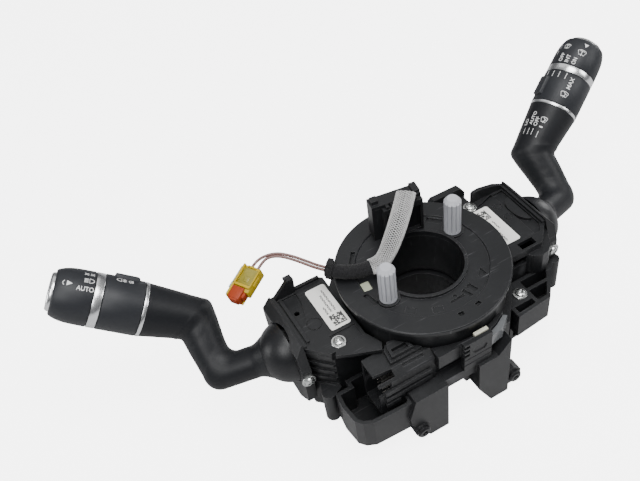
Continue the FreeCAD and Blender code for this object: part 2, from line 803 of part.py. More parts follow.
def louvres(piece, seat):
    """Four level slots in the slanting front corner, between an edge bar and the post."""
    slots = [
        ("-case_outer + case_corner - 2.2", "-case_front - 1"),
        ("-case_outer - 1", "-case_front + case_corner - 2.2"),
        ("-case_outer - 1", "-case_front + case_corner + 2.6"),
        ("-case_outer + case_corner + 2.6", "-case_front - 1"),
    ]
    slots = [("%s + 0" % across, up) for across, up in slots]
    for step in range(4):
        level = seat + " - %s" % (3.6 + 6.4 * step)
        piece.extrude([slots], level, "4.2", cut=True)
    # lower front corner post, rounded
    piece.extrude([("circle", "-76.6", "-case_front - 0.6", "4.4")], "case_bottom - 2",
                  "case_bottom + 12")
    post = [("-69", "-case_front - 1.6"), ("-76.6", "-case_front - 5"),
            ("-81", "-case_front - 0.6"), ("-78", "-case_front + 8"), ("-69", "-case_front + 4")]
    piece.extrude([post], "case_bottom - 2", "case_bottom + 12")


def module_cover(name, side):
    piece = Piece(name + "_module_cover")
    seat = "cover_top - cover_thick"
    plate = mirrored(module_outline("0.2"), side)
    piece.extrude([plate], seat, "cover_thick")
    rim = "case_outer - 0.2"
    back = "case_back - 0.2"
    if side < 0:
        light_cover(piece, seat, rim, back)
    else:
        wiper_cover(piece, seat, rim, back)
    start = name + "_label_start"
    label = mirrored(box_points("label_inner - shaft_gap", "label_inner + label_width + shaft_gap",
                                start + " - shaft_gap", start + " + label_length + shaft_gap"),
                     side)
    piece.extrude([label], "cover_top", "label_sink", cut=True)
    across, up = cover_screw(side)
    piece.extrude([("circle", across, up, "screw_shank + 0.2")], "cover_top", "cover_thick",
                  cut=True)


def light_cover(piece, seat, rim, back):
    """Shelf, hook, rims, bar and recesses of the light module's cover."""
    flap = [("-66.5", "-17"), ("-69.5", "-21.6"), ("-58", "-27"), ("-46.6", "-31.8"),
            ("-44.4", "-27.6"), ("-case_inner", "-17")]
    piece.extrude([flap], seat + " + 0.6", "cover_thick - 0.6")
    hook = [("-81.4", "cover_top - 1"), ("-81.4", "cover_top + 1"), ("-71.4", "76.2"),
            ("-70.4", "77"), ("-67.2", "77"), ("-66.6", "76.4"), ("-67", "cover_top - 1")]
    piece.extrude([hook], "-case_back + 0.6", "2.2", role="XZ_Plane")
    piece.extrude([box_points("-71.6", "-67", "75", "77")], "-case_back - 1.4", "2.4",
                  role="XZ_Plane")
    # raised rims along the outer and the back edge
    outer = box_points("-(%s)" % rim, "-(%s) + 1.8" % rim, "-8.4", back)
    rear = box_points("-(%s)" % rim, "-case_inner - 2.4", back + " - 1.8", back)
    piece.extrude([outer], "cover_top - 0.5", "2.5")
    piece.extrude([rear], "cover_top - 0.5", "2.5")
    piece.extrude([box_points("-78.6", "-76.8", "-6", "29.6")], "cover_top - 0.5", "1.9")
    # recess round the small hole, with its curved inner edge
    moon = [("-76.6", "4"), ("-73.6", "6"), ("-71.4", "9.4"), ("-69.6", "15"), ("-67.8", "21"),
            ("-67.2", "29.4"), ("-76.6", "29.4")]
    piece.extrude([moon], "cover_top", "1.2", cut=True)
    piece.extrude([("circle", "-73.4", "16.6", "1.6")], "cover_top", "cover_thick", cut=True)
    piece.extrude([("circle", "-68.8", "3.6", "4.6"), ("circle", "-68.8", "3.6", "3.7")],
                  "cover_top", "0.6", cut=True)
    # sunk strip before the label and a dark seat round the screw
    piece.extrude([box_points("-66", "-case_inner - 1.4", "-17.6", "-8.4")], "cover_top", "1",
                  cut=True)


def wiper_cover(piece, seat, rim, back):
    """Back wall, rims, half moon, openings and ear of the wiper module's cover."""
    wall = [("57.7", "cover_top - 1"), ("57.7", "71.6"), ("59", "73"), ("63.4", "73.2"),
            ("74", "70.8"), ("81.4", "67"), ("81.4", "cover_top - 1")]
    piece.extrude([wall], "-case_back + 0.2", "2.4", role="XZ_Plane")
    outer = box_points("%s - 1.8" % rim, rim, "-7.6", back)
    piece.extrude([outer], "cover_top - 0.5", "2.5")
    # pocket with the raised half moon on its outer side
    pocket = [("71.6", "29.2"), ("79.4", "29.2"), ("79.4", "-6"), ("75.6", "-11.6"),
              ("71.6", "-11.6")]
    piece.extrude([pocket], "cover_top", "1.6", cut=True)
    moon = [("78", "-0.8"), ("78", "21.4"), ("75.4", "20.6"), ("73.2", "18"), ("72", "14.4"),
            ("71.8", "10"), ("72.6", "5.6"), ("74.6", "1.6"), ("76.4", "0")]
    piece.extrude([moon], "cover_top - 2", "2.6")
    piece.extrude([("circle", "68.2", "18.6", "3"), ("circle", "68.2", "18.6", "2.1")],
                  "cover_top", "0.5", cut=True)
    piece.extrude([("circle", "68.2", "8.4", "3"), ("circle", "68.2", "8.4", "2.1")],
                  "cover_top", "0.5", cut=True)
    piece.extrude([box_points("57.6", "68", "-17.4", "-12.4")], "cover_top", "cover_thick",
                  cut=True)
    # slanting slit before the back wall
    slit = [("59", "26.4"), ("71.4", "30"), ("71.4", "28.2"), ("59", "24.8")]
    piece.extrude([slit], "cover_top", "2", cut=True)
    # ear behind the wall, on a bridge from the cover's back edge
    bridge = box_points("case_inner + 2.4", "57", back + " - 0.2", "39.4")
    piece.extrude([bridge], seat, "cover_thick")
    ear = [("33.4", seat + " - 2"), ("33.4", "71"), ("35.4", "72.8"), ("54.6", "72.4"),
           ("58.2", "68"), ("58.2", "56"), ("50.6", "56"), ("46", seat + " - 2")]
    piece.extrude([ear], "-39", "4.4", role="XZ_Plane", flip=True)


def module_label(name, side):
    piece = Piece(name + "_label")
    start = name + "_label_start"
    outline = mirrored(box_points("label_inner", "label_inner + label_width", start,
                                  start + " + label_length"), side)
    piece.extrude([outline], "cover_top - label_sink", "label_thick")
    piece.soften("1.6", upright)


def module_frame(name, side):
    """The side frame that carries the stalk pivot and closes round the dome."""
    piece = Piece(name + "_pivot_frame")
    flip = side < 0
    inner = "%d * case_outer" % side
    outline = [
        ("-8", "frame_top"), ("-frame_front", "52"), ("-frame_front", "26"), ("0", "13"),
        ("22", "13"),
        ("case_back - 2", "30"), ("case_back", "frame_top - 14"), ("case_back", "frame_top"),
    ]
    piece.extrude([outline], inner, "frame_thick", role="YZ_Plane", flip=flip)
    # the outer top edge falls away from a narrow ridge along the module
    outside = "%d * (case_outer + frame_thick + 1)" % side
    ridge = "%d * (case_outer + ridge_width)" % side
    piece.extrude([[(ridge, "frame_top + 1"), (outside, "frame_top + 1"),
                    (outside, "frame_top - frame_thick - 1.4"), (ridge, "frame_top")]],
                  "case_front", "case_front + case_back + 1", role="XZ_Plane", cut=True)
    if side > 0:
        piece.extrude([("circle", "case_outer + frame_thick / 2", "-frame_front - 1.6", "3.8")],
                      "skirt_bottom", "pivot_z - screw_head - skirt_bottom - 4")
    # spherical room for the dome
    room = piece.body.newObject("PartDesign::SubtractiveSphere", "Room")
    room.setExpression("Radius", bind("dome_radius + running_gap"))
    room.AttachmentSupport = [(piece.origin("XY_Plane"), "")]
    room.MapMode = "FlatFace"
    room.setExpression("AttachmentOffset.Base.x", bind("%d * pivot_x" % side))
    room.setExpression("AttachmentOffset.Base.y", bind("pivot_y"))
    room.setExpression("AttachmentOffset.Base.z", bind("pivot_z"))
    # two ears that hold the carrier's trunnions, on a web behind the dome
    low = "pivot_z - ring_z - seat_gap - trunnion_length"
    high = "pivot_z + ring_z + seat_gap"
    for level in (low, high):
        ear = mirrored(box_points("case_outer", "pivot_x + 3.4", "pivot_y - 4", "pivot_y + 4"),
                       side)
        piece.extrude([ear], level, "trunnion_length")
    web = [
        box_points("pivot_y - 15", "pivot_y + 15", "pivot_z - 17.4", "pivot_z + 17.4"),
        box_points("pivot_y - ring_y - 2.4", "pivot_y + ring_y + 2.4",
                   "pivot_z - ring_z - seat_gap", "pivot_z + ring_z + seat_gap"),
    ]
    piece.extrude(web, inner, "0.8", role="YZ_Plane", flip=flip)
    bore = ("circle", "%d * pivot_x" % side, "pivot_y", "trunnion_radius + shaft_gap")
    piece.extrude([bore], "pivot_z + dome_radius - 2", "2 * dome_radius - 4", cut=True)
    screw = ("circle", "%d * (case_outer + frame_thick / 2)" % side, "pivot_z - 2",
             "screw_shank + shaft_gap")
    piece.extrude([screw], "frame_front", "side_screw_length", role="XZ_Plane", cut=True)


def case_screws():
    """Zinc pan-head screws of the covers and of the front block."""
    front = Rotation(Vector(1, 0, 0), 90)
    places = [((46.9, -30.4, size("block_top")), Rotation(), "screw_length")]
    for name, side in SIDES:
        across, up = cover_screw(side)
        places.append(((float(across), float(up), size("cover_top")), Rotation(),
                       "screw_length"))
        places.append(((side * (size("case_outer") + size("frame_thick") / 2),
                        -size("frame_front"), size("pivot_z") - 2), front,
                       "side_screw_length"))
    screws = []
    for number, (place, turn, length) in enumerate(places):
        piece = Piece("case_screw_%d" % number, keep=False)
        screw_profile(piece, length)
        piece.body.Placement = Placement(Vector(*place), turn)
        screws.append(piece.body)
    group("case_screws", screws)


def screw_profile(piece, length="screw_length"):
    """A pan-head screw with its seat in the plane z = 0 and its shank below."""
    piece.revolve([
        ("0", "-%s + 1" % length),
        ("screw_shank - 0.4", "-%s + 1" % length),
        ("screw_shank", "-%s + 2" % length),
        ("screw_shank", "0"),
        ("screw_head", "0"),
        ("screw_head", "screw_head_high - 1"),
        ("screw_head - 0.9", "screw_head_high"),
        ("1.7", "screw_head_high"),
        ("1.4", "screw_head_high - 1.3"),
        ("0", "screw_head_high - 1.3"),
    ])


def bracket_screws():
    screws = []
    front = size("bracket_front")
    for number, place in enumerate(((-39.6, -front - 1, 11.5), (26, -front + 2, 8.5))):
        piece = Piece("bracket_screw_%d" % number, keep=False)
        screw_profile(piece)
        piece.body.Placement = Placement(Vector(*place), Rotation(Vector(1, 0, 0), 90))
        screws.append(piece.body)
    group("bracket_screws", screws)


# Stalk

def unit(azimuth, rise):
    a, b = math.radians(azimuth), math.radians(rise)
    return Vector(math.cos(b) * math.cos(a), math.cos(b) * math.sin(a), math.sin(b))


def stalk_points(side):
    """Pivot, lower elbow, upper elbow and the end of the fixed body."""
    flip = Vector(side, 1, 1)
    along = unit(size("stalk_azimuth"), size("stalk_rise"))
    pivot = Vector(size("pivot_x"), size("pivot_y"), size("pivot_z"))
    low = Vector(size("elbow_low_x"), size("elbow_low_y"), size("elbow_low_z"))
    high = Vector(size("elbow_high_x"), size("elbow_high_y"), size("elbow_high_z"))
    end = high + along * size("body_length")
    points = []
    for point in (pivot, low, high, end):
        points.append(Vector(point.x * flip.x, point.y, point.z))
    return points


def stalk_frame(side):
    """Placement whose Z runs out along the stalk from the upper elbow."""
    pivot, low, high, end = stalk_points(side)
    along = (end - high).normalize()
    level = Vector(-along.y, along.x, 0).normalize() * side
    above = along.cross(level) * side
    turn = math.radians(size("lug_angle"))
    lug = level * math.cos(turn) + above * math.sin(turn)
    across = along.cross(lug)
    rotation = Rotation(lug, across, along, "ZXY")
    return Placement(high, rotation)


def place_on_stalk(piece, side):
    piece.body.Placement = stalk_frame(side)


def bend(before, corner, after, radius):
    """Start, middle and end of the arc that rounds a corner."""
    a = (before - corner).normalize()
    b = (after - corner).normalize()
    half = a.getAngle(b) / 2
    reach = radius / math.tan(half)
    bisector = (a + b).normalize()
    centre = corner + bisector * (radius / math.sin(half))
    return corner + a * reach, centre - bisector * radius, corner + b * reach


def section(point, normal, radius):
    return Part.Wire(Part.makeCircle(radius, point, normal))


def closed_curve(points):
    curve = Part.BSplineCurve()
    curve.interpolate(points, PeriodicFlag=True)
    return Part.Wire(curve.toShape())


def ring(centre, axis, across, radius):
    """Round outline across the arm, started at the given spoke."""
    up = axis.cross(across)
    points = []
    for step in range(RING_STEPS):
        turn = math.tau * step / RING_STEPS
        points.append(centre + across * (radius * math.cos(turn)) + up * (radius * math.sin(turn)))
    return closed_curve(points)


class Elbow:
    """A bend of the arm whose outer and inner sides have their own rounding."""

    def __init__(self, corner, before, after, across, rounding, crease):
        self.corner, self.before, self.after = corner, before, after
        self.across = across
        self.turn = before.getAngle(after)
        self.hinge = before.cross(after).normalize()
        self.inward = self.hinge.cross(before)
        self.offset = math.atan2(across.dot(self.hinge), across.dot(self.inward))
        self.rounding, self.crease = rounding, crease
        swing = Rotation(self.hinge, math.degrees(self.turn))
        self.across_after = swing.multVec(across)

    def outline(self, share, radius, run=0.0):
        """Outline at a share of the bend, or a run before or after it."""
        points = []
        half = math.tan(self.turn / 2)
        swing = Rotation(self.hinge, math.degrees(self.turn * share))
        for step in range(RING_STEPS):
            angle = self.offset + math.tau * step / RING_STEPS
            inside = radius * math.cos(angle)
            mean = (self.crease + self.rounding) / 2
            bend_radius = mean + (self.crease - self.rounding) / 2 * math.cos(angle)
            first = (self.corner + self.inward * inside + self.hinge * (radius * math.sin(angle))
                     - self.before * ((inside + bend_radius) * half))
            centre = first + self.inward * bend_radius
            point = centre - swing.multVec(self.inward) * bend_radius
            point += (self.before if share < 0.5 else self.after) * run
            points.append(point)
        return closed_curve(points)

    def outlines(self, radius_in, radius_out):
        """Outlines from just before the bend to just after it."""
        rings = [self.outline(0, radius_in, -2.5)]
        for share in (0, 0.25, 0.5, 0.75, 1):
            rings.append(self.outline(share, radius_in + (radius_out - radius_in) * share))
        rings.append(self.outline(1, radius_out, 2.5))
        return rings


def lever(name, side):
    pivot, low, high, end = stalk_points(side)
    root = (low - pivot).normalize()
    middle = (high - low).normalize()
    along = (end - high).normalize()
    foot = pivot + root * size("dome_radius")
    across = root.cross(Vector(0, 0, 1)).normalize()
    flare, thin = size("flare_radius"), size("root_radius")
    lower = Elbow(low, root, middle, across, size("elbow_low_round"), size("elbow_low_crease"))
    upper = Elbow(high, middle, along, lower.across_after, size("elbow_high_round"),
                  size("elbow_high_crease"))
    base = [
        ring(foot - root * 6, root, across, flare + 0.5),
        ring(foot - root * 3, root, across, (flare * 2 + thin) / 3),
        ring(foot, root, across, (flare + thin * 4) / 5),
        ring(foot + root * 4, root, across, thin),
    ]
    bend_low = lower.outlines(thin, size("mid_radius"))
    bend_high = upper.outlines(size("high_radius"), size("neck_radius"))
    last = ring(end, along, upper.across_after, size("body_radius"))
    arm = Part.makeLoft(base, True, False)
    arm = arm.fuse([
        Part.makeLoft([base[-1], bend_low[0]], True, True),
        Part.makeLoft(bend_low, True, False),
        Part.makeLoft([bend_low[-1], bend_high[0]], True, True),
        Part.makeLoft(bend_high, True, False),
        Part.makeLoft([bend_high[-1], last], True, True),
    ])
    arm = arm.cut(Part.makeSphere(size("dome_radius") + size("shaft_gap"), pivot))
    # core that carries the rings, the collar and the knob
    core_length = (size("thin_ring") + size("collar_length") + size("thick_ring")
                   + size("core_end"))
    core = Part.makeCylinder(size("core_radius"), core_length, end, along)
    # neck through the dome to the eye of the cross pin
    neck = Part.makeCylinder(size("neck_pin"), size("dome_radius") + 2, pivot, root)
    eye_width = 2 * (size("ring_y") - size("ring_bar") - size("seat_gap"))
    eye = Part.makeCylinder(size("eye_radius"), eye_width, pivot - Vector(0, eye_width / 2, 0),
                            Vector(0, 1, 0))
    pin = Part.makeCylinder(size("cross_pin") + size("shaft_gap"), 4 * eye_width,
                            pivot - Vector(0, 2 * eye_width, 0), Vector(0, 1, 0))
    shape = arm.fuse([core, neck, eye]).cut(pin)
    solid(name + "_lever", shape.removeSplitter())


def dome(name, side):
    """Dust dome, part of a sphere about the pivot, fixed to the lever."""
    pivot, low, high, end = stalk_points(side)
    root = (low - pivot).normalize()
    outer = Part.makeSphere(size("dome_radius"), pivot)
    inner = Part.makeSphere(size("dome_radius") - size("dome_wall"), pivot)
    keep = Part.makeBox(60, 60, 60)
    base = pivot.x + side * size("dome_cut")
    keep.translate(Vector(base if side > 0 else base - 60, pivot.y - 30, pivot.z - 30))
    hole = Part.makeCylinder(size("neck_pin") + size("shaft_gap"), 40, pivot, root)
    shape = outer.cut(inner).common(keep).cut(hole)
    solid(name + "_dome", shape)


def carrier(name, side):
    """Gimbal ring that swings on upright trunnions and holds the cross pin."""
    piece = Piece(name + "_carrier")
    low = "pivot_z - ring_z"
    ring = mirrored(box_points("pivot_x - ring_x", "pivot_x + ring_x", "pivot_y - ring_y",
                               "pivot_y + ring_y"), side)
    piece.extrude([ring], low, "2 * ring_z")
    arm = [("circle", "pivot_y", "pivot_z", "detent_radius")]
    inner = "%d * (pivot_x - ring_x + 1)" % side
    piece.extrude(arm, inner, "detent_arm + 1", role="YZ_Plane", flip=side > 0)
    across = "%d * pivot_x" % side
    piece.extrude([("circle", across, "pivot_y", "trunnion_radius")],
                  low + " - trunnion_length", "2 * ring_z + 2 * trunnion_length")
    window = box_points("pivot_y - ring_y + ring_bar", "pivot_y + ring_y - ring_bar",
                        "pivot_z - ring_z + ring_bar", "pivot_z + ring_z - ring_bar")
    piece.extrude([window], "%d * (pivot_x + ring_x + 1)" % side, "ring_x * 2 + 1 - 1.6",
                  role="YZ_Plane", cut=True, flip=side < 0)
    piece.extrude([("circle", across, "pivot_z", "cross_pin + shaft_gap")],
                  "-pivot_y + ring_y + 1", "2 * ring_y + 2", role="XZ_Plane", cut=True)
    bore = [("circle", "pivot_y", "pivot_z", "plunger_radius + shaft_gap")]
    piece.extrude(bore, "%d * (pivot_x - ring_x - detent_arm)" % side, "detent_arm - 1.5",
                  role="YZ_Plane", cut=True, flip=side > 0)


def cross_pin(name, side):
    piece = Piece(name + "_cross_pin")
    piece.extrude([("circle", "%d * pivot_x" % side, "pivot_z", "cross_pin")],
                  "-pivot_y + ring_y", "2 * ring_y", role="XZ_Plane", flip=True)


def plunger(name, side):
    piece = Piece(name + "_detent_plunger")
    piece.revolve([
        ("0", "0"), ("plunger_radius", "0"), ("plunger_radius", "5"),
        ("plunger_radius * 0.8", "6.4"), ("plunger_radius * 0.4", "7.1"), ("0", "7.3"),
    ])
    tip = size("pivot_x") - size("ring_x") - size("detent_arm") - size("plunger_out")
    turn = Rotation(Vector(0, 0, 1), Vector(-side, 0, 0))
    place = Vector(side * (tip + 7.3), size("pivot_y"), size("pivot_z"))
    piece.body.Placement = Placement(place, turn)


def stalk_trim(name, side):
    body = "body_length"
    ring_hole = "core_radius + shaft_gap"
    # thin ring, fixed on the core
    piece = Piece(name + "_thin_ring")
    end = body + " + thin_ring"
    piece.revolve([(ring_hole, body), ("ring_radius - 0.3", body), ("ring_radius", body + " + 0.3"),
                   ("ring_radius", end + " - 0.3"), ("ring_radius - 0.3", end),
                   (ring_hole, end)])
    place_on_stalk(piece, side)
    # turning collar, hollow, with its grip lug
    piece = Piece(name + "_collar")
    start = end + " + seat_gap"
    stop = end + " + collar_length - seat_gap"
    piece.revolve([(ring_hole, start), ("collar_radius - 0.4", start),
                   ("collar_radius", start + " + 0.4"), ("collar_radius", stop + " - 0.4"),
                   ("collar_radius - 0.4", stop), (ring_hole, stop)])
    lug = [(start + " + 3", "collar_radius - 1.2"), (start + " + 5", "collar_radius + lug_height"),
           (start + " + 1 + lug_length", "collar_radius + lug_height"),
           (start + " + 3 + lug_length", "collar_radius - 1.2")]
    lug = [(up, across) for across, up in lug]
    piece.extrude([lug], "-lug_width / 2", "lug_width", role="XZ_Plane")
    for tooth in range(4):
        level = start + " + %s" % (6.2 + 2.3 * tooth)
        piece.extrude([box_points("collar_radius + lug_height - 0.7",
                                  "collar_radius + lug_height + 1", level, level + " + 1")],
                      "-lug_width / 2 - 1", "lug_width + 2", role="XZ_Plane", cut=True,
                      flip=True)
    place_on_stalk(piece, side)
    # thick ring, fixed on the core
    piece = Piece(name + "_thick_ring")
    start = body + " + thin_ring + collar_length"
    end = start + " + thick_ring"
    piece.revolve([(ring_hole, start), ("ring_radius - 0.4", start),
                   ("ring_radius", start + " + 0.5"), ("ring_radius", end + " - 0.5"),
                   ("ring_radius - 0.4", end), (ring_hole, end)])
    place_on_stalk(piece, side)
    # turning tip knob, hollow round the core and the button
    piece = Piece(name + "_knob")
    start = end + " + seat_gap"
    tip = end + " + knob_length"
    seat = "button_radius + seat_gap"
    floor = end + " + core_end + seat_gap"
    piece.revolve([(ring_hole, start), ("ring_radius - 0.5", start),
                   ("ring_radius", start + " + 0.5"), ("ring_radius - 0.3", tip + " - 9"),
                   ("ring_radius - 1.2", tip + " - 4"), ("knob_tip_radius", tip),
                   (seat, tip), (seat, floor), (ring_hole, floor)])
    place_on_stalk(piece, side)
    # end button and its spring
    piece = Piece(name + "_end_button")
    face = tip + " + button_proud"
    under = floor + " + button_travel + 0.6"
    piece.revolve([("0", under + " + 1.6"), ("6", under + " + 1.6"), ("6", under),
                   ("button_radius", under), ("button_radius", face + " - 2"),
                   ("button_radius - 1.4", face + " - 0.4"), ("button_radius - 2", face),
                   ("0", face + " + 0.3")])
    place_on_stalk(piece, side)
    # two disc springs back to back, between the core's end and the button
    piece = Piece(name + "_button_spring")
    low = end + " + core_end + 0.05"
    high = under + " + 1.6 - 0.05"
    middle = "(%s + %s) / 2" % (low, high)
    piece.revolve([("spring_inner", low), ("spring_outer", middle + " - spring_thick / 2"),
                   ("spring_outer", middle + " + spring_thick / 2"), ("spring_inner", high),
                   ("spring_inner", high + " - spring_thick"),
                   ("spring_outer - 2 * spring_thick", middle),
                   ("spring_inner", low + " + spring_thick")])
    place_on_stalk(piece, side)


# Connector and front cover

def connector_shroud():
    piece = Piece("connector_shroud")
    plan = [
        ("-shroud_left", "-shroud_back"), ("-shroud_left", "-shroud_front"),
        ("-shroud_right", "-shroud_front"), ("-shroud_right", "-case_radius + 4.9"),
        around("-138.5", "1.7"), ("-case_radius + 4.5", "-shroud_back"),
    ]
    piece.extrude([plan], "shroud_bottom", "shroud_top - shroud_bottom")
    # sloping shoulders along the front and back edges of the mouth
    shoulder = [("-shroud_front - 1", "shroud_top - 4.6"), ("-shroud_front + 6.4", "shroud_top + 1"),
                ("-shroud_front - 1", "shroud_top + 1")]
    heel = [("-shroud_front - 1", "shroud_bottom + 3"), ("-shroud_front + 4.6", "shroud_bottom - 1"),
            ("-shroud_front - 1", "shroud_bottom - 1")]
    piece.extrude([shoulder, heel], "-shroud_right + 1", "shroud_left - shroud_right + 2",
                  role="YZ_Plane", cut=True)
    mouth = [
        ("-shroud_front + shroud_wall", "shroud_bottom + 4.4"),
        ("-shroud_front + shroud_wall + 3", "shroud_bottom + shroud_wall"),
        ("-shroud_back - shroud_wall", "shroud_bottom + shroud_wall"),
        ("-shroud_back - shroud_wall", "shroud_top - shroud_wall"),
        ("-shroud_front + shroud_wall + 5", "shroud_top - shroud_wall"),
        ("-shroud_front + shroud_wall", "shroud_top - 6"),
    ]
    piece.extrude([mouth], "-shroud_left", "shroud_depth", role="YZ_Plane", cut=True, flip=True)
    # notch and window at the front of the mouth
    notch = box_points("-shroud_left - 1", "-shroud_left + 7.5", "shroud_top - 12.5",
                       "shroud_top - 4.2")
    piece.extrude([notch], "shroud_front", "shroud_wall + 0.2", role="XZ_Plane", cut=True)
    # open corner of the roof beside the mouth
    corner = [("-shroud_left - 1", "-41.3"), ("-48.2", "-42.6"), ("-48.2", "-46"),
              ("-shroud_left - 1", "-46")]
    piece.extrude([corner], "shroud_top + 0.5", "8", cut=True)
    # three guide rails along the front wall
    for drop, stop in (("11.2", "-shroud_right - 3"), ("16.4", "-shroud_right - 3"),
                       ("21.6", "-47.4")):
        rail = box_points("-shroud_left + 3", stop, "shroud_top - %s - 1.4" % drop,
                          "shroud_top - %s + 1.4" % drop)
        piece.extrude([rail], "shroud_front - 0.5", "1.9", role="XZ_Plane")
    # latch block in two levels and the slot before it on the roof
    latch = [("-47.4", "-41"), ("-46.4", "-32.6"), ("-44", "-shroud_back"),
             ("-case_radius + 4.5", "-shroud_back"), around("-138.5", "1.7"),
             around("-126", "1.6"), ("-28", "-41")]
    piece.extrude([latch], "shroud_top - 0.5", "3")
    upper = [("-45.6", "-39.8"), ("-44.8", "-33.4"), ("-43", "-shroud_back - 0.4"),
             around("-142", "2.4"), around("-131.5", "2.2"), ("-32.2", "-39.8")]
    piece.extrude([upper], "shroud_top + 2", "3.2")
    piece.extrude([box_points("-43.6", "-34.6", "-38.8", "-35.2")], "shroud_top + 5.2", "3",
                  cut=True)
    piece.extrude([box_points("-42", "-29", "-44.6", "-43")], "shroud_top", "1.4", cut=True)


def contact_pins():
    """Blades of the plug socket, standing in the back wall of the mouth."""
    pins = []
    floor = -size("shroud_left") + size("shroud_depth")
    for line in range(2):
        for place in range(6):
            label = "contact_%d_%d" % (line, place)
            blade = doc.addObject("Part::Box", label)
            blade.Label = label
            blade.Length = 9
            blade.Width = 0.64
            blade.Height = 0.64
            blade.Placement.Base = Vector(floor - 9, -41 + 5 * line,
                                          size("shroud_bottom") + 6.4 + 3.4 * place)
            pins.append(blade)
    group("contact_pins", pins)


def front_cover():
    piece = Piece("front_cover")
    gap = "seat_gap"
    plan = [
        ("-shroud_right + %s" % gap, "-case_radius - 2.9"),
        ("-panel_left", "-case_radius - 2.9"), ("-panel_left", "-panel_front"),
        ("panel_right", "-panel_front"), ("panel_right", "-case_radius - 3.1"),
        around("-72.8", "3.2"), around("-63.3", "2.4"), around("-66.2", "0.6"),
        around("-74", "1"), around("-82.4", "0.9"), ("0", "-case_radius - 0.9"),
        around("-99.5", "1"), around("-108", "1"),
        ("-shroud_right + %s" % gap, "-case_radius + 4.7"),
    ]
    deck = DECK
    piece.extrude([plan], deck + " + 0.3", "panel_top - 3 - (%s) - 0.3" % deck)
    piece.extrude([box_points("-panel_left", "panel_right", "panel_bottom", "panel_top")],
                  "panel_front", "panel_front - base_front - seat_gap - 4.8",
                  role="XZ_Plane", flip=True)
    for height in (4.6, 9.2):
        piece.extrude([box_points("-panel_left - 1", "panel_right + 1",
                                  "panel_bottom + %s" % height,
                                  "panel_bottom + %s + 0.7" % height)],
                      "panel_front", "0.6", role="XZ_Plane", cut=True)
    # field of three interlocking fingers at the panel's left edge, and a sunk oval field
    for height in ("14.6", "18.2", "21.8"):
        piece.extrude([box_points("-panel_left - 1", "-panel_left + 3.4",
                                  "panel_bottom + %s - 2.4" % height,
                                  "panel_bottom + %s" % height)],
                      "panel_front", "1.4", role="XZ_Plane", cut=True)
    piece.extrude([[("-4.4", "56"), ("-2.6", "53.2"), ("3.6", "53.2"), ("5.4", "56"),
                    ("3.6", "58.8"), ("-2.6", "58.8")]], "panel_front", "0.5",
                  role="XZ_Plane", cut=True)
    piece.extrude([box_points("-1.2", "panel_right - 0.4", "-case_radius - 4.1",
                              "-case_radius - 1.4")], "panel_top", "1.6", cut=True)


def sensor_window():
    piece = Piece("sensor_window")
    piece.extrude([box_points("-1.2 + seat_gap", "panel_right - 0.4 - seat_gap",
                              "-case_radius - 4.1 + seat_gap", "-case_radius - 1.4 - seat_gap")],
                  "panel_top - 1.6", "2.2")


def light_guide():
    """Clear wedge beside the front panel."""
    piece = Piece("light_guide")
    piece.extrude([[("panel_right + seat_gap", "-case_radius - 5.9"),
                    ("panel_right + seat_gap", "-case_radius - 3.5"), around("-72.8", "3.6"),
                    around("-63.4", "2.8"), around("-62.7", "5"), around("-71.9", "7.2")]],
                  DECK + " + seat_gap", "8")


# Airbag lead, from the tower over the disc's edge to its plug

TOP = size("disc_top")


def lead_point(x, y, above):
    return Vector(x, y, TOP + above)


SLEEVE_ROUTE = [
    lead_point(9.5, 28.2, 27.4),
    lead_point(2.6, 20.8, 26.6),
    lead_point(-5.6, 13.6, 23.2),
    lead_point(-12.6, 9.6, 16.6),
    lead_point(-17.6, 8.3, 10.0),
    lead_point(-22.2, 8.3, 5.8),
    lead_point(-27.6, 9.3, 5.5),
]
LOOM_ROUTE = [
    lead_point(-27.6, 9.3, 5.5),
    lead_point(-33.0, 10.3, 5.2),
    lead_point(-38.6, 12.8, 5.2),
    lead_point(-44.0, 16.8, 5.2),
    lead_point(-48.6, 22.4, 5.4),
]
WIRE_ROUTE = [
    LOOM_ROUTE[-1],
    LOOM_ROUTE[-1] + (LOOM_ROUTE[-1] - LOOM_ROUTE[-2]) * 0.78,
    lead_point(-56.6, 33.4, 6.4),
    lead_point(-61.6, 39.8, 7.8),
    lead_point(-67.2, 45.4, 8.8),
    lead_point(-73.2, 48.3, 8.4),
    lead_point(-78.8, 48.2, 7.0),
    lead_point(-82.9, 45.7, 6.0),
]
PLUG_AXIS = WIRE_ROUTE[-1] - WIRE_ROUTE[-2]


def rounded_path(points):
    """Straight runs joined by tangent arcs, each as large as its runs allow."""
    edges = []
    radii = []
    last = points[0]
    for before, corner, after in zip(points, points[1:], points[2:]):
        runs = min((corner - before).Length, (after - corner).Length)
        turn = (corner - before).getAngle(after - corner)
        radius = 0.45 * runs / math.tan(turn / 2)
        radii.append(round(radius, 1))
        start, middle, end = bend(before, corner, after, radius)
        edges.append(Part.LineSegment(last, start).toShape())
        edges.append(Part.Arc(start, middle, end).toShape())
        last = end
    edges.append(Part.LineSegment(last, points[-1]).toShape())
    return Part.Wire(edges), radii


def tube(label, points, radius):
    path, radii = rounded_path(points)
    profile = section(points[0], points[1] - points[0], radius)
    shape = path.makePipeShell([profile], True, False)
    print(label, "radii", radii, "length", round(path.Length, 1),
          "volume share", round(shape.Volume / (math.pi * radius ** 2 * path.Length), 4))
    solid(label, shape)
    return path


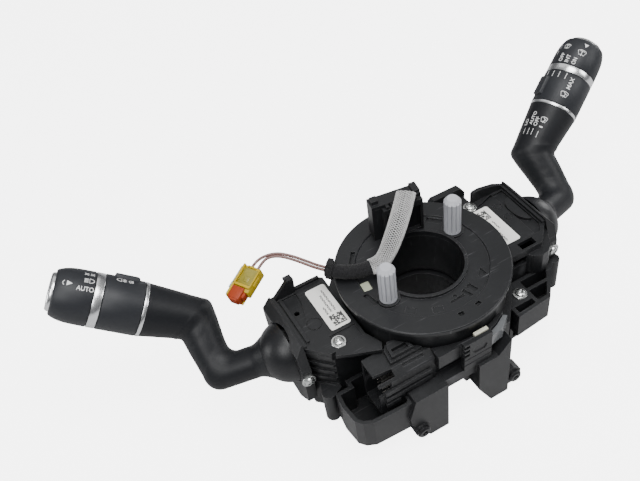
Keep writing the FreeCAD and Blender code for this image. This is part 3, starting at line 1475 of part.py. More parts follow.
def braided_sleeve():
    """Flattened sleeve, kept level across its width along the whole route."""
    path, radii = rounded_path(SLEEVE_ROUTE)
    start = SLEEVE_ROUTE[0]
    along = (SLEEVE_ROUTE[1] - start).normalize()
    across = Vector(-along.y, along.x, 0).normalize()
    above = along.cross(across)
    half = size("sleeve_width") / 2
    thick = size("sleeve_thick") / 2
    flat = half - thick
    corners = [start + across * flat + above * thick, start + across * half,
               start + across * flat - above * thick, start - across * flat - above * thick,
               start - across * half, start - across * flat + above * thick]
    edges = [Part.Arc(corners[0], corners[1], corners[2]).toShape(),
             Part.LineSegment(corners[2], corners[3]).toShape(),
             Part.Arc(corners[3], corners[4], corners[5]).toShape(),
             Part.LineSegment(corners[5], corners[0]).toShape()]
    shell = Part.BRepOffsetAPI.MakePipeShell(path)
    shell.setFrenetMode(False)
    shell.add(Part.Wire(edges), False, False)
    shell.build()
    shell.makeSolid()
    shape = shell.shape()
    print("braided_sleeve radii", radii, "length", round(path.Length, 1))
    solid("braided_sleeve", shape)


def lead():
    braided_sleeve()
    tube("wrapped_loom", LOOM_ROUTE, size("loom_radius"))
    for label, sign in (("lead_wire_a", -1), ("lead_wire_b", 1)):
        route = []
        last = len(WIRE_ROUTE) - 1
        for number, point in enumerate(WIRE_ROUTE):
            ahead = WIRE_ROUTE[min(number + 1, last)]
            behind = WIRE_ROUTE[max(number - 1, 0)]
            if number < 2:
                ahead, behind = WIRE_ROUTE[1], WIRE_ROUTE[0]
            if number > last - 2:
                ahead, behind = WIRE_ROUTE[last], WIRE_ROUTE[last - 1]
            along = (ahead - behind).normalize()
            across = Vector(-along.y, along.x, 0).normalize()
            spread = "wire_fan" if number > last - 2 else "wire_pair"
            route.append(point + across * (sign * size(spread) / 2))
        tube(label, route, size("wire_radius"))


def plug_frame():
    """Placement at the plug's wire end, X out along the plug, Z its thickness."""
    across = Vector(-PLUG_AXIS.y, PLUG_AXIS.x, 0)
    return Placement(WIRE_ROUTE[-1], Rotation(PLUG_AXIS, across, Vector(0, 0, 1), "XYZ"))


def airbag_plug():
    frame = plug_frame()
    piece = Piece("airbag_plug")
    half = "plug_width / 2"
    piece.extrude([[("0", "-%s + 1" % half), ("1", "-%s" % half), ("plug_length", "-%s" % half),
                    ("plug_length", half), ("1", half), ("0", "%s - 1" % half)]],
                  "-plug_thick / 2", "plug_thick")
    piece.extrude([box_points("3", "plug_length - 3", "-2.6", "2.6")], "plug_thick / 2", "0.9",
                  cut=True)
    piece.body.Placement = frame
    lock = Piece("plug_lock")
    lock.extrude([box_points("plug_length", "plug_length + lock_length",
                             "-%s + 1.4" % half, "%s - 2.6" % half)],
                 "-plug_thick / 2 + 0.6", "plug_thick - 0.4")
    lock.extrude([box_points("plug_length + 2", "plug_length + lock_length - 1",
                             "%s - 2.6" % half, "%s - 1.2" % half)],
                 "-plug_thick / 2 + 2", "3")
    lock.body.Placement = frame
    strip = Piece("plug_strip")
    strip.extrude([box_points("2", "plug_length - 1", "-%s - 1" % half, "-%s" % half)],
                  "-plug_thick / 2 + 1", "plug_thick - 3")
    strip.body.Placement = frame


def cable_tie():
    """Tie round the loom's end, with its square head on top."""
    point = LOOM_ROUTE[-1]
    along = (point - LOOM_ROUTE[-2]).normalize()
    band = Part.makeCylinder(size("loom_radius") + 1.1, 3.2, point - along * 4.4, along)
    hole = Part.makeCylinder(size("loom_radius") + size("shaft_gap"), 3.4,
                             point - along * 4.5, along)
    head = Part.makeBox(3.2, 4.4, 3.2, Vector(-4.4, -2.2, size("loom_radius") + 0.3))
    across = Vector(-along.y, along.x, 0)
    head.Placement = Placement(point, Rotation(along, across, Vector(0, 0, 1), "XYZ"))
    solid("cable_tie", band.fuse(head).cut(hole))


def switch_boards():
    """Contact boards of the two modules, lying under the covers."""
    for name, side in SIDES:
        piece = Piece(name + "_contact_board")
        board = mirrored(box_points("52", "64", "-7", "24"), side)
        piece.extrude([board], "detent_top", "board_thick")
        chips = [mirrored(box_points("54.6", "57.8", "%s" % low, "%s + 5" % low), side)
                 for low in (-3, 5, 13)]
        piece.extrude(chips, "detent_top + board_thick", "1.2")


def build():
    rotor_disc()
    rotor_hub()
    sensor_pinions()
    drive_pins()
    connector_tower()
    tower_cap()
    spring_case()
    spiral_ribbon()
    angle_board()
    base_housing()
    for name, side in SIDES:
        module_case(name, side)
        module_cover(name, side)
        module_label(name, side)
        module_frame(name, side)
        carrier(name, side)
        cross_pin(name, side)
        plunger(name, side)
        lever(name, side)
        dome(name, side)
        stalk_trim(name, side)
    switch_boards()
    case_screws()
    bracket_screws()
    connector_shroud()
    contact_pins()
    front_cover()
    sensor_window()
    light_guide()
    lead()
    airbag_plug()
    cable_tie()
    doc.recompute()


def check():
    """Stop before writing if a feature failed, cut nothing or left no solid."""
    for item in doc.Objects:
        if "Invalid" in item.State or "Error" in item.State:
            raise RuntimeError("%s failed: %s" % (item.Label, item.State))
    for feature, before in cuts:
        if before is not None and feature.Shape.Volume > before.Shape.Volume - 0.01:
            raise RuntimeError("%s of %s cuts nothing" % (feature.Name, feature.getParent().Label))
    for label, item in nodes.items():
        if item.Shape.isNull() or not item.Shape.isValid() or not item.Shape.Solids:
            raise RuntimeError("%s has no valid solid" % label)


def write():
    os.makedirs("parts", exist_ok=True)
    for label, item in nodes.items():
        item.Shape.exportStep("parts/%s.step" % label)


build()
check()
write()
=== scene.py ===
"""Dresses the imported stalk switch: finishes, prints, lead, plug and screws. Lengths are metres."""

import math

import bmesh
import bpy
from mathutils import Matrix, Vector, noise
from mathutils.bvhtree import BVHTree


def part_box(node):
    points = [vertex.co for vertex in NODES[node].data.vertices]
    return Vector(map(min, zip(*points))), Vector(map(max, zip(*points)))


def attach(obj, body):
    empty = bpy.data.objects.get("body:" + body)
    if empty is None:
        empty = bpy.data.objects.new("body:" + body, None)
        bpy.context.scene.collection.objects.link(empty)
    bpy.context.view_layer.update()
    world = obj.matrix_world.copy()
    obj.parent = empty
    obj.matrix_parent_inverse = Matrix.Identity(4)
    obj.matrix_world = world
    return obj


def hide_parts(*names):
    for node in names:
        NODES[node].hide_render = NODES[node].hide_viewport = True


bl_info = {
    "name": "Stalk switch dressing",
    "version": (1, 0, 0),
    "blender": (4, 5, 0),
    "location": "3D View > Sidebar > Stalk switch",
    "description": "Finishes, prints, lead and screws of a steering column stalk switch",
    "category": "Object",
}

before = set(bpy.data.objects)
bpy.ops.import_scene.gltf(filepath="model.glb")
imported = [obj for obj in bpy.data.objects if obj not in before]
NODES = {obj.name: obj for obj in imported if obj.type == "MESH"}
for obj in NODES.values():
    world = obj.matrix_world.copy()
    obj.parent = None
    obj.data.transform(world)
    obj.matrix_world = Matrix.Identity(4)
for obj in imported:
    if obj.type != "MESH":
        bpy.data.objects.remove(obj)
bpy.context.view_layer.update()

# Routes of the lead, point for point those of the solid part
SLEEVE_ROUTE = [
    (0.0095, 0.0282, 0.1024), (0.0026, 0.0208, 0.1016), (-0.0056, 0.0136, 0.0982),
    (-0.0126, 0.0096, 0.0916), (-0.0176, 0.0083, 0.0850), (-0.0222, 0.0083, 0.0808),
    (-0.0276, 0.0093, 0.0805),
]
LOOM_ROUTE = [
    (-0.0276, 0.0093, 0.0805), (-0.0330, 0.0103, 0.0802), (-0.0386, 0.0128, 0.0802),
    (-0.0440, 0.0168, 0.0802), (-0.0486, 0.0224, 0.0804),
]
WIRE_ROUTES = {
    "lead_wire_a": [
        (-0.04775, 0.02310, 0.08040), (-0.05134, 0.02747, 0.08056), (-0.05571, 0.03404, 0.08140),
        (-0.06078, 0.04053, 0.08280), (-0.06655, 0.04629, 0.08380), (-0.07294, 0.04937, 0.08340),
        (-0.07984, 0.04991, 0.08200), (-0.08394, 0.04741, 0.08100)],
    "lead_wire_b": [
        (-0.04945, 0.02170, 0.08040), (-0.05304, 0.02607, 0.08056), (-0.05749, 0.03276, 0.08140),
        (-0.06242, 0.03907, 0.08280), (-0.06785, 0.04451, 0.08380), (-0.07346, 0.04723, 0.08340),
        (-0.07776, 0.04649, 0.08200), (-0.08186, 0.04399, 0.08100)],
}

# Directions of the two stalks, outwards from their upper elbows
SIDES = {"light": -1, "wiper": 1}
STALK_AZIMUTH = math.radians(24.0)
STALK_RISE = math.radians(30.5)
ELBOW = Vector((0.1232, 0.0528, 0.0560))

# Pieces turned about a stalk: radii, then start and stop along it from the upper elbow
STALK_HOLE = 0.00606
GRIP_RADIUS = 0.0157
THIN_RING = (0.0312, 0.0332)
COLLAR = (0.0335, 0.0555)
THICK_RING = (0.0558, 0.0606)
KNOB = (0.0609, 0.0816)
TURNED_STEPS = 96

# Camera fitted to the photograph: turn, rise and roll in degrees, place, focal length in pixels
CAMERA_ANGLES = (-21.143, 45.625, -10.447)
CAMERA_PLACE = (-0.1508, -0.2400, 0.3917)
FOCAL_PIXELS = 746.281
PICTURE_WIDTH = 640
SENSOR_WIDTH = 36.0

# Lamps: name, setting with its power, place and span
LAMPS = [
    ("key", "key_power", (-0.60, -0.40, 0.85), 0.5),
    ("fill", "fill_power", (0.75, -0.45, 0.60), 0.4),
    ("top", "top_power", (0.05, -0.15, 1.10), 0.6),
    ("back", "back_power", (0.10, 0.70, 0.85), 0.7),
    ("side_left", "side_power", (-0.85, 0.30, 0.22), 0.3),
    ("side_right", "side_power", (0.85, 0.25, 0.22), 0.3),
]

UP = Vector((0, 0, 1))
FRONT = Vector((0, -1, 0))

# Zinc screws: place, direction of the head and turn of the recess in degrees
SCREWS = [
    ((0.0469, -0.0304, 0.045), UP, 35), ((-0.0636, -0.0146, 0.065), UP, 20),
    ((0.054, 0.028, 0.065), UP, 60), ((-0.0848, -0.014, 0.045), FRONT, 10),
    ((0.0848, -0.014, 0.045), FRONT, 30),
]

# Marks on each label in shares of its width and length: the field's left, right, near and far
# side, then the width of the lines in metres and each line's place, start and stop
LABEL_MARKS = {
    "light": ((0.26, 0.88, 0.06, 0.30), -0.0012,
              [(0.76, 0.36, 0.88), (0.56, 0.36, 0.78), (0.36, 0.34, 0.52)]),
    "wiper": ((0.12, 0.72, 0.70, 0.93), 0.0011, [(0.34, 0.08, 0.62), (0.54, 0.40, 0.62)]),
}

# Where each part of a stalk rides
STALK_BODIES = {"lever": "stalk", "collar": "ring_switch", "knob": "tip_switch",
                "thick_ring": "stalk"}

# Prints: part, mark, angle round the stalk, place along it, turn, width and height.
# Angles are degrees, places and sizes millimetres from the upper elbow.
PRINTS = {
    "light": [
        ("knob", "AUTO", 111.5, 65.8, 0, 9.2, 2.7),
        ("knob", "*beam", 92.0, 64.3, 0, 5.4, 3.8),
        ("knob", "*side lamps", 73.0, 64.6, 0, 5.4, 3.0),
        ("knob", "*pointer", 104.8, 74.2, -90, 3.2, 3.1),
        ("knob", "*tick", 101.5, 77.4, 60, 1.6, 2.0),
        ("knob", "*tick", 107.5, 77.4, 120, 1.6, 2.0),
        ("collar", "*fog", 70.0, 47.2, 0, 5.6, 3.9),
        ("collar", "*fog", 70.2, 41.9, 0, 2.6, 3.0),
        ("lever", "*arrow", 40.0, 22.5, 0, 5.6, 5.0),
        ("lever", "*arrow", 43.0, 13.7, 180, 5.6, 5.0),
    ],
    "wiper": [
        ("knob", "OFF", 66.0, 65.0, 0, 6.3, 2.6),
        ("knob", "INT", 83.0, 64.6, 0, 5.6, 2.6),
        ("knob", "ON", 100.5, 64.0, 0, 4.7, 2.6),
        ("knob", "*washer", 65.6, 73.2, -90, 4.6, 4.6),
        ("knob", "*washer", 108.1, 70.8, -90, 5.4, 5.2),
        ("knob", "*pointer", 110.8, 76.8, 90, 3.3, 2.9),
        ("knob", "*tick", 44.0, 68.7, 0, 3.0, 3.0),
        ("knob", "*tick", 44.0, 73.7, 0, 3.0, 3.0),
        ("thick_ring", "*two bars", 66.2, 58.2, 0, 2.0, 1.6),
        ("collar", "*tick", 28.0, 52.6, 0, 4.0, 4.0),
        ("collar", "*tick", 46.1, 52.6, 0, 4.2, 4.0),
        ("collar", "*tick", 65.2, 52.5, 0, 4.2, 4.0),
        ("collar", "*tick", 81.4, 52.5, 0, 4.2, 4.0),
        ("collar", "*tick", 98.7, 52.5, 0, 4.2, 4.0),
        ("collar", "MAX", 116.0, 48.9, 0, 8.2, 2.6),
        ("collar", "*screen", 114.0, 40.4, -90, 5.0, 5.0),
        ("lever", "LO", 50.6, 16.4, 0, 4.6, 2.6),
        ("lever", "AUTO", 66.9, 19.6, 0, 9.4, 2.6),
        ("lever", "OFF", 80.8, 17.8, 0, 6.4, 2.6),
        ("lever", "1", 98.0, 15.1, 0, 1.0, 2.4),
        ("lever", "*screen", 97.1, 19.9, -90, 4.6, 4.8),
        ("lever", "*tick", 55.9, 10.0, 0, 4.4, 4.0),
        ("lever", "*tick", 69.4, 10.3, 0, 4.4, 4.0),
        ("lever", "*tick", 81.0, 10.4, 0, 4.4, 4.0),
        ("lever", "*tick", 97.0, 9.8, 0, 4.4, 4.0),
    ],
}


# Settings

class StageSettings(bpy.types.PropertyGroup):
    key_power: bpy.props.FloatProperty(
        name="Key light", description="Power of the large light on the left",
        default=6.2, min=0.0)
    fill_power: bpy.props.FloatProperty(
        name="Fill light", description="Power of the light on the right",
        default=3.5, min=0.0)
    top_power: bpy.props.FloatProperty(
        name="Top light", description="Power of the light overhead",
        default=10.5, min=0.0)
    back_power: bpy.props.FloatProperty(
        name="Back light", description="Power of the light behind and above",
        default=1.0, min=0.0)
    side_power: bpy.props.FloatProperty(
        name="Side lights", description="Power of the low lights beside the stalks",
        default=1.6, min=0.0)
    room_light: bpy.props.FloatProperty(
        name="Room light", description="Strength of the white surroundings overhead",
        default=0.42, min=0.0)
    floor_glow: bpy.props.FloatProperty(
        name="Floor glow", description="Whiteness of the floor and background in the picture",
        default=5.0, min=0.0)
    floor_colour: bpy.props.FloatVectorProperty(
        name="Floor", description="Colour of the floor", subtype="COLOR",
        default=(0.55, 0.55, 0.555), min=0.0, max=1.0)


class PlasticSettings(bpy.types.PropertyGroup):
    housing: bpy.props.FloatVectorProperty(
        name="Housing", description="Colour of the moulded housings", subtype="COLOR",
        default=(0.010, 0.0105, 0.0115), min=0.0, max=1.0)
    stalk: bpy.props.FloatVectorProperty(
        name="Stalk", description="Colour of the stalks' soft finish", subtype="COLOR",
        default=(0.0145, 0.016, 0.0195), min=0.0, max=1.0)
    edge: bpy.props.FloatProperty(
        name="Edge rounding", description="Radius that softens the moulded edges in the light",
        default=0.0003, min=0.0, subtype="DISTANCE", unit="LENGTH")


class LeadSettings(bpy.types.PropertyGroup):
    wire: bpy.props.FloatProperty(
        name="Wire", description="Diameter of each lead wire", default=0.0017, min=0.0005,
        subtype="DISTANCE", unit="LENGTH")
    sleeve_width: bpy.props.FloatProperty(
        name="Sleeve width", description="Width of the flattened braid", default=0.0108,
        min=0.002, subtype="DISTANCE", unit="LENGTH")
    sleeve_thickness: bpy.props.FloatProperty(
        name="Sleeve thickness", description="Thickness of the flattened braid",
        default=0.0032, min=0.001, subtype="DISTANCE", unit="LENGTH")
    strands: bpy.props.IntProperty(
        name="Braid strands", description="Strands that turn each way round the sleeve",
        default=16, min=4)
    loom: bpy.props.FloatProperty(
        name="Loom", description="Diameter of the taped loom", default=0.0086, min=0.002,
        subtype="DISTANCE", unit="LENGTH")


# Helpers for shapes

def new_object(name, data):
    piece = bpy.data.objects.new(name, data)
    bpy.context.scene.collection.objects.link(piece)
    return piece


def plain_mesh(name, shape):
    """The mesh of a bmesh, with its faces turned outwards."""
    bmesh.ops.recalc_face_normals(shape, faces=shape.faces)
    data = bpy.data.meshes.new(name)
    shape.to_mesh(data)
    shape.free()
    return data


def mesh_object(name, shape, material, smooth=30.0):
    """A finished object from a bmesh, with soft shading up to an angle in degrees."""
    data = plain_mesh(name, shape)
    data.materials.append(material)
    shade(data, smooth)
    return new_object(name, data)


def shade(data, degrees):
    """Soft shading over every edge that folds by less than an angle in degrees."""
    data.shade_smooth()
    limit = math.radians(degrees)
    shape = bmesh.new()
    shape.from_mesh(data)
    for edge in shape.edges:
        edge.smooth = len(edge.link_faces) == 2 and edge.calc_face_angle(0.0) < limit
    shape.to_mesh(data)
    shape.free()


def box(shape, low, high, bevel=0.0, segments=2):
    """A block between two corners, its edges rounded."""
    made = bmesh.ops.create_cube(shape, size=1.0)["verts"]
    low, high = Vector(low), Vector(high)
    span = high - low
    bmesh.ops.scale(shape, vec=span, verts=made)
    bmesh.ops.translate(shape, vec=(low + high) / 2, verts=made)
    if bevel:
        edges = list({edge for vert in made for edge in vert.link_edges})
        bmesh.ops.bevel(shape, geom=edges, offset=bevel, offset_type="OFFSET", affect="EDGES",
                        segments=segments, profile=0.5, material=-1)


def turned(shape, outline, steps):
    """Turns an outline of (radius, height) pairs about Z, open at the axis or closed."""
    before = set(shape.verts)
    verts = [shape.verts.new((radius, 0.0, height)) for radius, height in outline]
    edges = [shape.edges.new(pair) for pair in zip(verts, verts[1:])]
    bmesh.ops.spin(shape, geom=verts + edges, cent=(0, 0, 0), axis=(0, 0, 1), dvec=(0, 0, 0),
                   angle=math.tau, steps=steps, use_merge=True, use_duplicate=False)
    made = [vert for vert in shape.verts if vert not in before]
    bmesh.ops.remove_doubles(shape, verts=made, dist=1e-7)


def frame_matrix(origin, x, z):
    """Matrix whose X and Z point along the given directions."""
    z = Vector(z).normalized()
    y = z.cross(Vector(x)).normalized()
    x = y.cross(z)
    turn = Matrix((x, y, z)).transposed().to_4x4()
    turn.translation = origin
    return turn


def stalk_matrix(side):
    """Place of a stalk's upper elbow: Z outwards, X level, Y over the top."""
    out = Vector((side * math.cos(STALK_RISE) * math.cos(STALK_AZIMUTH),
                  math.cos(STALK_RISE) * math.sin(STALK_AZIMUTH), math.sin(STALK_RISE)))
    level = Vector((-side * math.sin(STALK_AZIMUTH), math.cos(STALK_AZIMUTH), 0.0))
    over = level.cross(out) * (-side)
    turn = Matrix((level, over, out)).transposed().to_4x4()
    turn.translation = Vector((side * ELBOW.x, ELBOW.y, ELBOW.z))
    return turn


def spline_curve(name, points, bevel=0.0):
    """A smooth curve with the route's points as its control points."""
    data = bpy.data.curves.new(name, "CURVE")
    data.dimensions = "3D"
    data.resolution_u = 12
    data.bevel_depth = bevel
    data.bevel_resolution = 5
    data.use_fill_caps = bevel > 0
    spline = data.splines.new("NURBS")
    spline.points.add(len(points) - 1)
    for point, place in zip(spline.points, points):
        point.co = (*place, 1.0)
    spline.order_u = 3
    spline.use_endpoint_u = True
    return data


def line_of(route, count):
    """Evenly spaced places and directions along a route's smooth curve."""
    data = spline_curve("line", route)
    data.resolution_u = 32
    probe = new_object("line", data)
    depsgraph = bpy.context.evaluated_depsgraph_get()
    line = bpy.data.meshes.new_from_object(probe.evaluated_get(depsgraph))
    places = [vert.co.copy() for vert in line.vertices]
    bpy.data.objects.remove(probe)
    bpy.data.meshes.remove(line)
    reach = [0.0]
    for a, b in zip(places, places[1:]):
        reach.append(reach[-1] + (b - a).length)
    even = []
    at = 0
    for i in range(count):
        want = reach[-1] * i / (count - 1)
        while at < len(places) - 2 and reach[at + 1] < want:
            at += 1
        share = (want - reach[at]) / max(reach[at + 1] - reach[at], 1e-9)
        even.append(places[at].lerp(places[at + 1], share))
    along = []
    for i in range(count):
        along.append((even[min(i + 1, count - 1)] - even[max(i - 1, 0)]).normalized())
    return even, along, reach[-1]


def taken(piece):
    """The evaluated mesh of a piece, which is then removed."""
    bpy.context.view_layer.update()
    depsgraph = bpy.context.evaluated_depsgraph_get()
    mesh = bpy.data.meshes.new_from_object(piece.evaluated_get(depsgraph))
    bpy.data.objects.remove(piece)
    return mesh


def combined(piece, tool, operation, use_self=False):
    """The mesh of one piece joined to another, or cut by it; both pieces are removed."""
    change = piece.modifiers.new("combined", "BOOLEAN")
    change.operation = operation
    change.solver = "EXACT"
    change.use_self = use_self
    change.object = tool
    mesh = taken(piece)
    bpy.data.objects.remove(tool)
    return mesh


def bridged(shape, rings):
    """Joins closed rings of points into a tube and fills its two ends."""
    for pair in zip(rings, rings[1:]):
        edges = []
        for ring in pair:
            for k, vert in enumerate(ring):
                ends = (vert, ring[k - 1])
                edges.append(shape.edges.get(ends) or shape.edges.new(ends))
        bmesh.ops.bridge_loops(shape, edges=edges)
    bmesh.ops.holes_fill(shape, edges=shape.edges, sides=0)


def raised(shape, height):
    """Gives the flat faces of a bmesh a thickness upwards."""
    top = bmesh.ops.extrude_face_region(shape, geom=shape.faces[:])["geom"]
    bmesh.ops.translate(shape, vec=(0, 0, height),
                        verts=[item for item in top if isinstance(item, bmesh.types.BMVert)])


def arc(across, up, wide, high, start, stop, steps):
    """Points on an oval arc between two angles in degrees."""
    points = []
    for step in range(steps + 1):
        angle = math.radians(start + (stop - start) * step / steps)
        points.append((across + wide * math.cos(angle), up + high * math.sin(angle)))
    return points


def bars(places, left, right):
    """Level strokes at several heights."""
    return [(False, [(left, up), (right, up)]) for up in places]


LAMP = [(True, [(0.02, -0.38)] + arc(0.02, 0.0, 0.46, 0.38, -90, 90, 12))]
SCREEN = [(True, [(-0.30, -0.32), (-0.5, 0.22)] + arc(0, 0.22, 0.5, 0.2, 180, 0, 10)
           + [(0.30, -0.32)] + arc(0, -0.32, 0.30, 0.1, 0, 180, 8))]

# Strokes of each symbol in a box one unit wide and high, closed or open
SYMBOLS = {
    "beam": LAMP + bars((-0.3, -0.1, 0.1, 0.3), -0.5, -0.1),
    "side lamps": [
        (True, arc(-0.12, 0.0, 0.2, 0.3, 90, 270, 8)),
        (True, arc(0.12, 0.0, 0.2, 0.3, -90, 90, 8)),
        (False, [(-0.38, 0.0), (-0.5, 0.0)]), (False, [(0.38, 0.0), (0.5, 0.0)]),
        (False, [(-0.36, 0.22), (-0.48, 0.34)]), (False, [(0.36, 0.22), (0.48, 0.34)]),
        (False, [(-0.36, -0.22), (-0.48, -0.34)]), (False, [(0.36, -0.22), (0.48, -0.34)]),
    ],
    "fog": [(closed, [(-across, up) for across, up in points]) for closed, points in LAMP]
    + bars((-0.24, 0.0, 0.24), 0.1, 0.5)
    + [(False, [(0.26, -0.42), (0.36, -0.21), (0.24, 0.0), (0.36, 0.21), (0.26, 0.42)])],
    "arrow": [(True, [(-0.5, 0.0), (-0.05, 0.45), (-0.05, 0.2), (0.5, 0.2), (0.5, -0.2),
                      (-0.05, -0.2), (-0.05, -0.45)])],
    "screen": SCREEN + [(False, [(0.0, -0.42), (0.16, 0.18)]),
                        (False, [(-0.12, 0.3), (0.34, 0.06)])],
    "washer": SCREEN + [
        (False, [(0.0, -0.42), (0.0, 0.1)]), (False, arc(-0.14, 0.1, 0.14, 0.2, 0, 150, 6)),
        (False, arc(0.14, 0.1, 0.14, 0.2, 180, 30, 6))],
    "tick": [(False, [(-0.5, 0.0), (0.5, 0.0)])],
    "two bars": bars((-0.4, 0.4), -0.5, 0.5),
}


def drawn(symbol, wide, high):
    """Thin flat mesh of a symbol, with the size of its box."""
    data = bpy.data.curves.new(symbol, "CURVE")
    if symbol == "pointer":
        data.dimensions = "2D"
        data.fill_mode = "BOTH"
        data.extrude = 0.00002
        strokes = [(True, [(-0.5, -0.45), (0.5, -0.45), (0.0, 0.5)])]
    else:
        data.dimensions = "3D"
        data.bevel_depth = 0.0002
        data.bevel_resolution = 1
        data.use_fill_caps = True
        strokes = SYMBOLS[symbol]
    for closed, points in strokes:
        spline = data.splines.new("POLY")
        spline.points.add(len(points) - 1)
        for point, (across, up) in zip(spline.points, points):
            point.co = (across * wide, up * high, 0.0, 1.0)
        spline.use_cyclic_u = closed
    mesh = taken(new_object(symbol, data))
    if symbol != "pointer":
        mesh.transform(Matrix.Diagonal((1, 1, 0.1, 1)))
    return mesh


def lettered(words, wide, high):
    """Thin flat mesh of a word, fitted to a width and a height."""
    data = bpy.data.curves.new(words, "FONT")
    data.body = words
    data.size = 1.0
    data.offset = 0.012
    mesh = taken(new_object(words, data))
    shape = bmesh.new()
    shape.from_mesh(mesh)
    bmesh.ops.remove_doubles(shape, verts=shape.verts, dist=1e-5)
    low = Vector([min(vert.co[k] for vert in shape.verts) for k in range(3)])
    top = Vector([max(vert.co[k] for vert in shape.verts) for k in range(3)])
    bmesh.ops.translate(shape, vec=-(low + top) / 2, verts=shape.verts)
    bmesh.ops.scale(shape, vec=(wide / (top.x - low.x), high / (top.y - low.y), 1),
                    verts=shape.verts)
    raised(shape, 0.00004)
    shape.to_mesh(mesh)
    shape.free()
    return mesh


def cut_across(shape, step):
    """Cuts a flat mesh along evenly spaced lines both ways, so that it can bend."""
    for k in range(2):
        places = [vert.co[k] for vert in shape.verts]
        low, top = min(places), max(places)
        count = int((top - low) / step)
        for number in range(1, count + 1):
            at = Vector((0, 0, 0))
            at[k] = low + (top - low) * number / (count + 1)
            normal = Vector((0, 0, 0))
            normal[k] = 1.0
            bmesh.ops.bisect_plane(shape, geom=shape.verts[:] + shape.edges[:] + shape.faces[:],
                                   plane_co=at, plane_no=normal, dist=1e-7)


# Helpers for finishes

def group_tree(name, inputs, outputs):
    tree = bpy.data.node_groups.new(name, "ShaderNodeTree")
    for label, kind, value in inputs:
        socket = tree.interface.new_socket(name=label, in_out="INPUT", socket_type=kind)
        socket.default_value = value
    for label, kind in outputs:
        tree.interface.new_socket(name=label, in_out="OUTPUT", socket_type=kind)
    return tree, tree.nodes.new("NodeGroupInput"), tree.nodes.new("NodeGroupOutput")


def node(tree, kind, **values):
    """A node with its settings and the values of its inputs."""
    made = tree.nodes.new(kind)
    for key, value in values.items():
        if hasattr(made, key):
            setattr(made, key, value)
        else:
            made.inputs[key.replace("_", " ")].default_value = value
    return made


def noisy(tree, scale, detail, rough, place=None):
    """A noise laid out in the piece's own coordinates, or over another place."""
    made = node(tree, "ShaderNodeTexNoise", Scale=scale, Detail=detail, Roughness=rough)
    place = place or node(tree, "ShaderNodeTexCoord").outputs["Object"]
    tree.links.new(place, made.inputs["Vector"])
    return made


def product(tree, first, second):
    """Two values multiplied, of which the second may be a number."""
    made = node(tree, "ShaderNodeMath", operation="MULTIPLY")
    tree.links.new(first, made.inputs[0])
    if isinstance(second, float):
        made.inputs[1].default_value = second
    else:
        tree.links.new(second, made.inputs[1])
    return made.outputs[0]


def spread(tree, value, low, high, least=0.0):
    """A value spread out between two marks and held between least and one."""
    made = node(tree, "ShaderNodeMapRange", clamp=True)
    for label, mark in (("From Min", low), ("From Max", high), ("To Min", least)):
        made.inputs[label].default_value = mark
    tree.links.new(value, made.inputs["Value"])
    return made.outputs[0]


def mixed(tree, amount, plain, other):
    """One colour laid over another by an amount."""
    made = node(tree, "ShaderNodeMix", data_type="RGBA")
    tree.links.new(amount, made.inputs["Factor"])
    tree.links.new(plain, made.inputs[6])
    tree.links.new(other, made.inputs[7])
    return made.outputs[2]


def graded(tree, value, low, high):
    """A run between two colours, each given with the value where it stands."""
    made = node(tree, "ShaderNodeValToRGB")
    for k, (place, colour) in enumerate((low, high)):
        made.color_ramp.elements[k].position = place
        made.color_ramp.elements[k].color = (*colour, 1)
    tree.links.new(value, made.inputs["Fac"])
    return made.outputs["Color"]


def bumped(tree, shader, height, distance, strength=1.0):
    """Lets a height shape the shader's normal."""
    made = node(tree, "ShaderNodeBump", Strength=strength, Distance=distance)
    tree.links.new(height, made.inputs["Height"])
    tree.links.new(made.outputs["Normal"], shader.inputs["Normal"])
    return made


def moulding_group():
    """Grain, blotches and rubbed spots of a moulded surface."""
    name = "moulded surface"
    if name in bpy.data.node_groups:
        return bpy.data.node_groups[name]
    tree, given, out = group_tree(
        name,
        [("Colour", "NodeSocketColor", (0.02, 0.02, 0.02, 1)),
         ("Rubbed colour", "NodeSocketColor", (0.06, 0.06, 0.06, 1)),
         ("Grain scale", "NodeSocketFloat", 1400.0),
         ("Roughness", "NodeSocketFloat", 0.5),
         ("Unevenness", "NodeSocketFloat", 0.12),
         ("Rubbing", "NodeSocketFloat", 0.25)],
        [("Colour", "NodeSocketColor"), ("Roughness", "NodeSocketFloat"),
         ("Height", "NodeSocketFloat")])
    link = tree.links.new
    grain = noisy(tree, 1400.0, 3.0, 0.6)
    link(given.outputs["Grain scale"], grain.inputs["Scale"])
    link(grain.outputs["Fac"], out.inputs["Height"])
    blotch = noisy(tree, 38.0, 5.0, 0.62).outputs["Fac"]
    streak = noisy(tree, 260.0, 4.0, 0.7).outputs["Fac"]
    both = node(tree, "ShaderNodeMath", operation="MULTIPLY_ADD")
    both.inputs[1].default_value = 0.45
    link(streak, both.inputs[0])
    link(product(tree, blotch, 0.6), both.inputs[2])
    amount = product(tree, spread(tree, both.outputs[0], 0.52, 0.78), given.outputs["Rubbing"])
    link(mixed(tree, amount, given.outputs["Colour"], given.outputs["Rubbed colour"]),
         out.inputs["Colour"])
    centred = node(tree, "ShaderNodeMath", operation="SUBTRACT")
    centred.inputs[1].default_value = 0.5
    link(blotch, centred.inputs[0])
    rough = node(tree, "ShaderNodeMath", operation="MULTIPLY_ADD")
    link(centred.outputs[0], rough.inputs[0])
    link(given.outputs["Unevenness"], rough.inputs[1])
    link(given.outputs["Roughness"], rough.inputs[2])
    link(rough.outputs[0], out.inputs["Roughness"])
    return tree


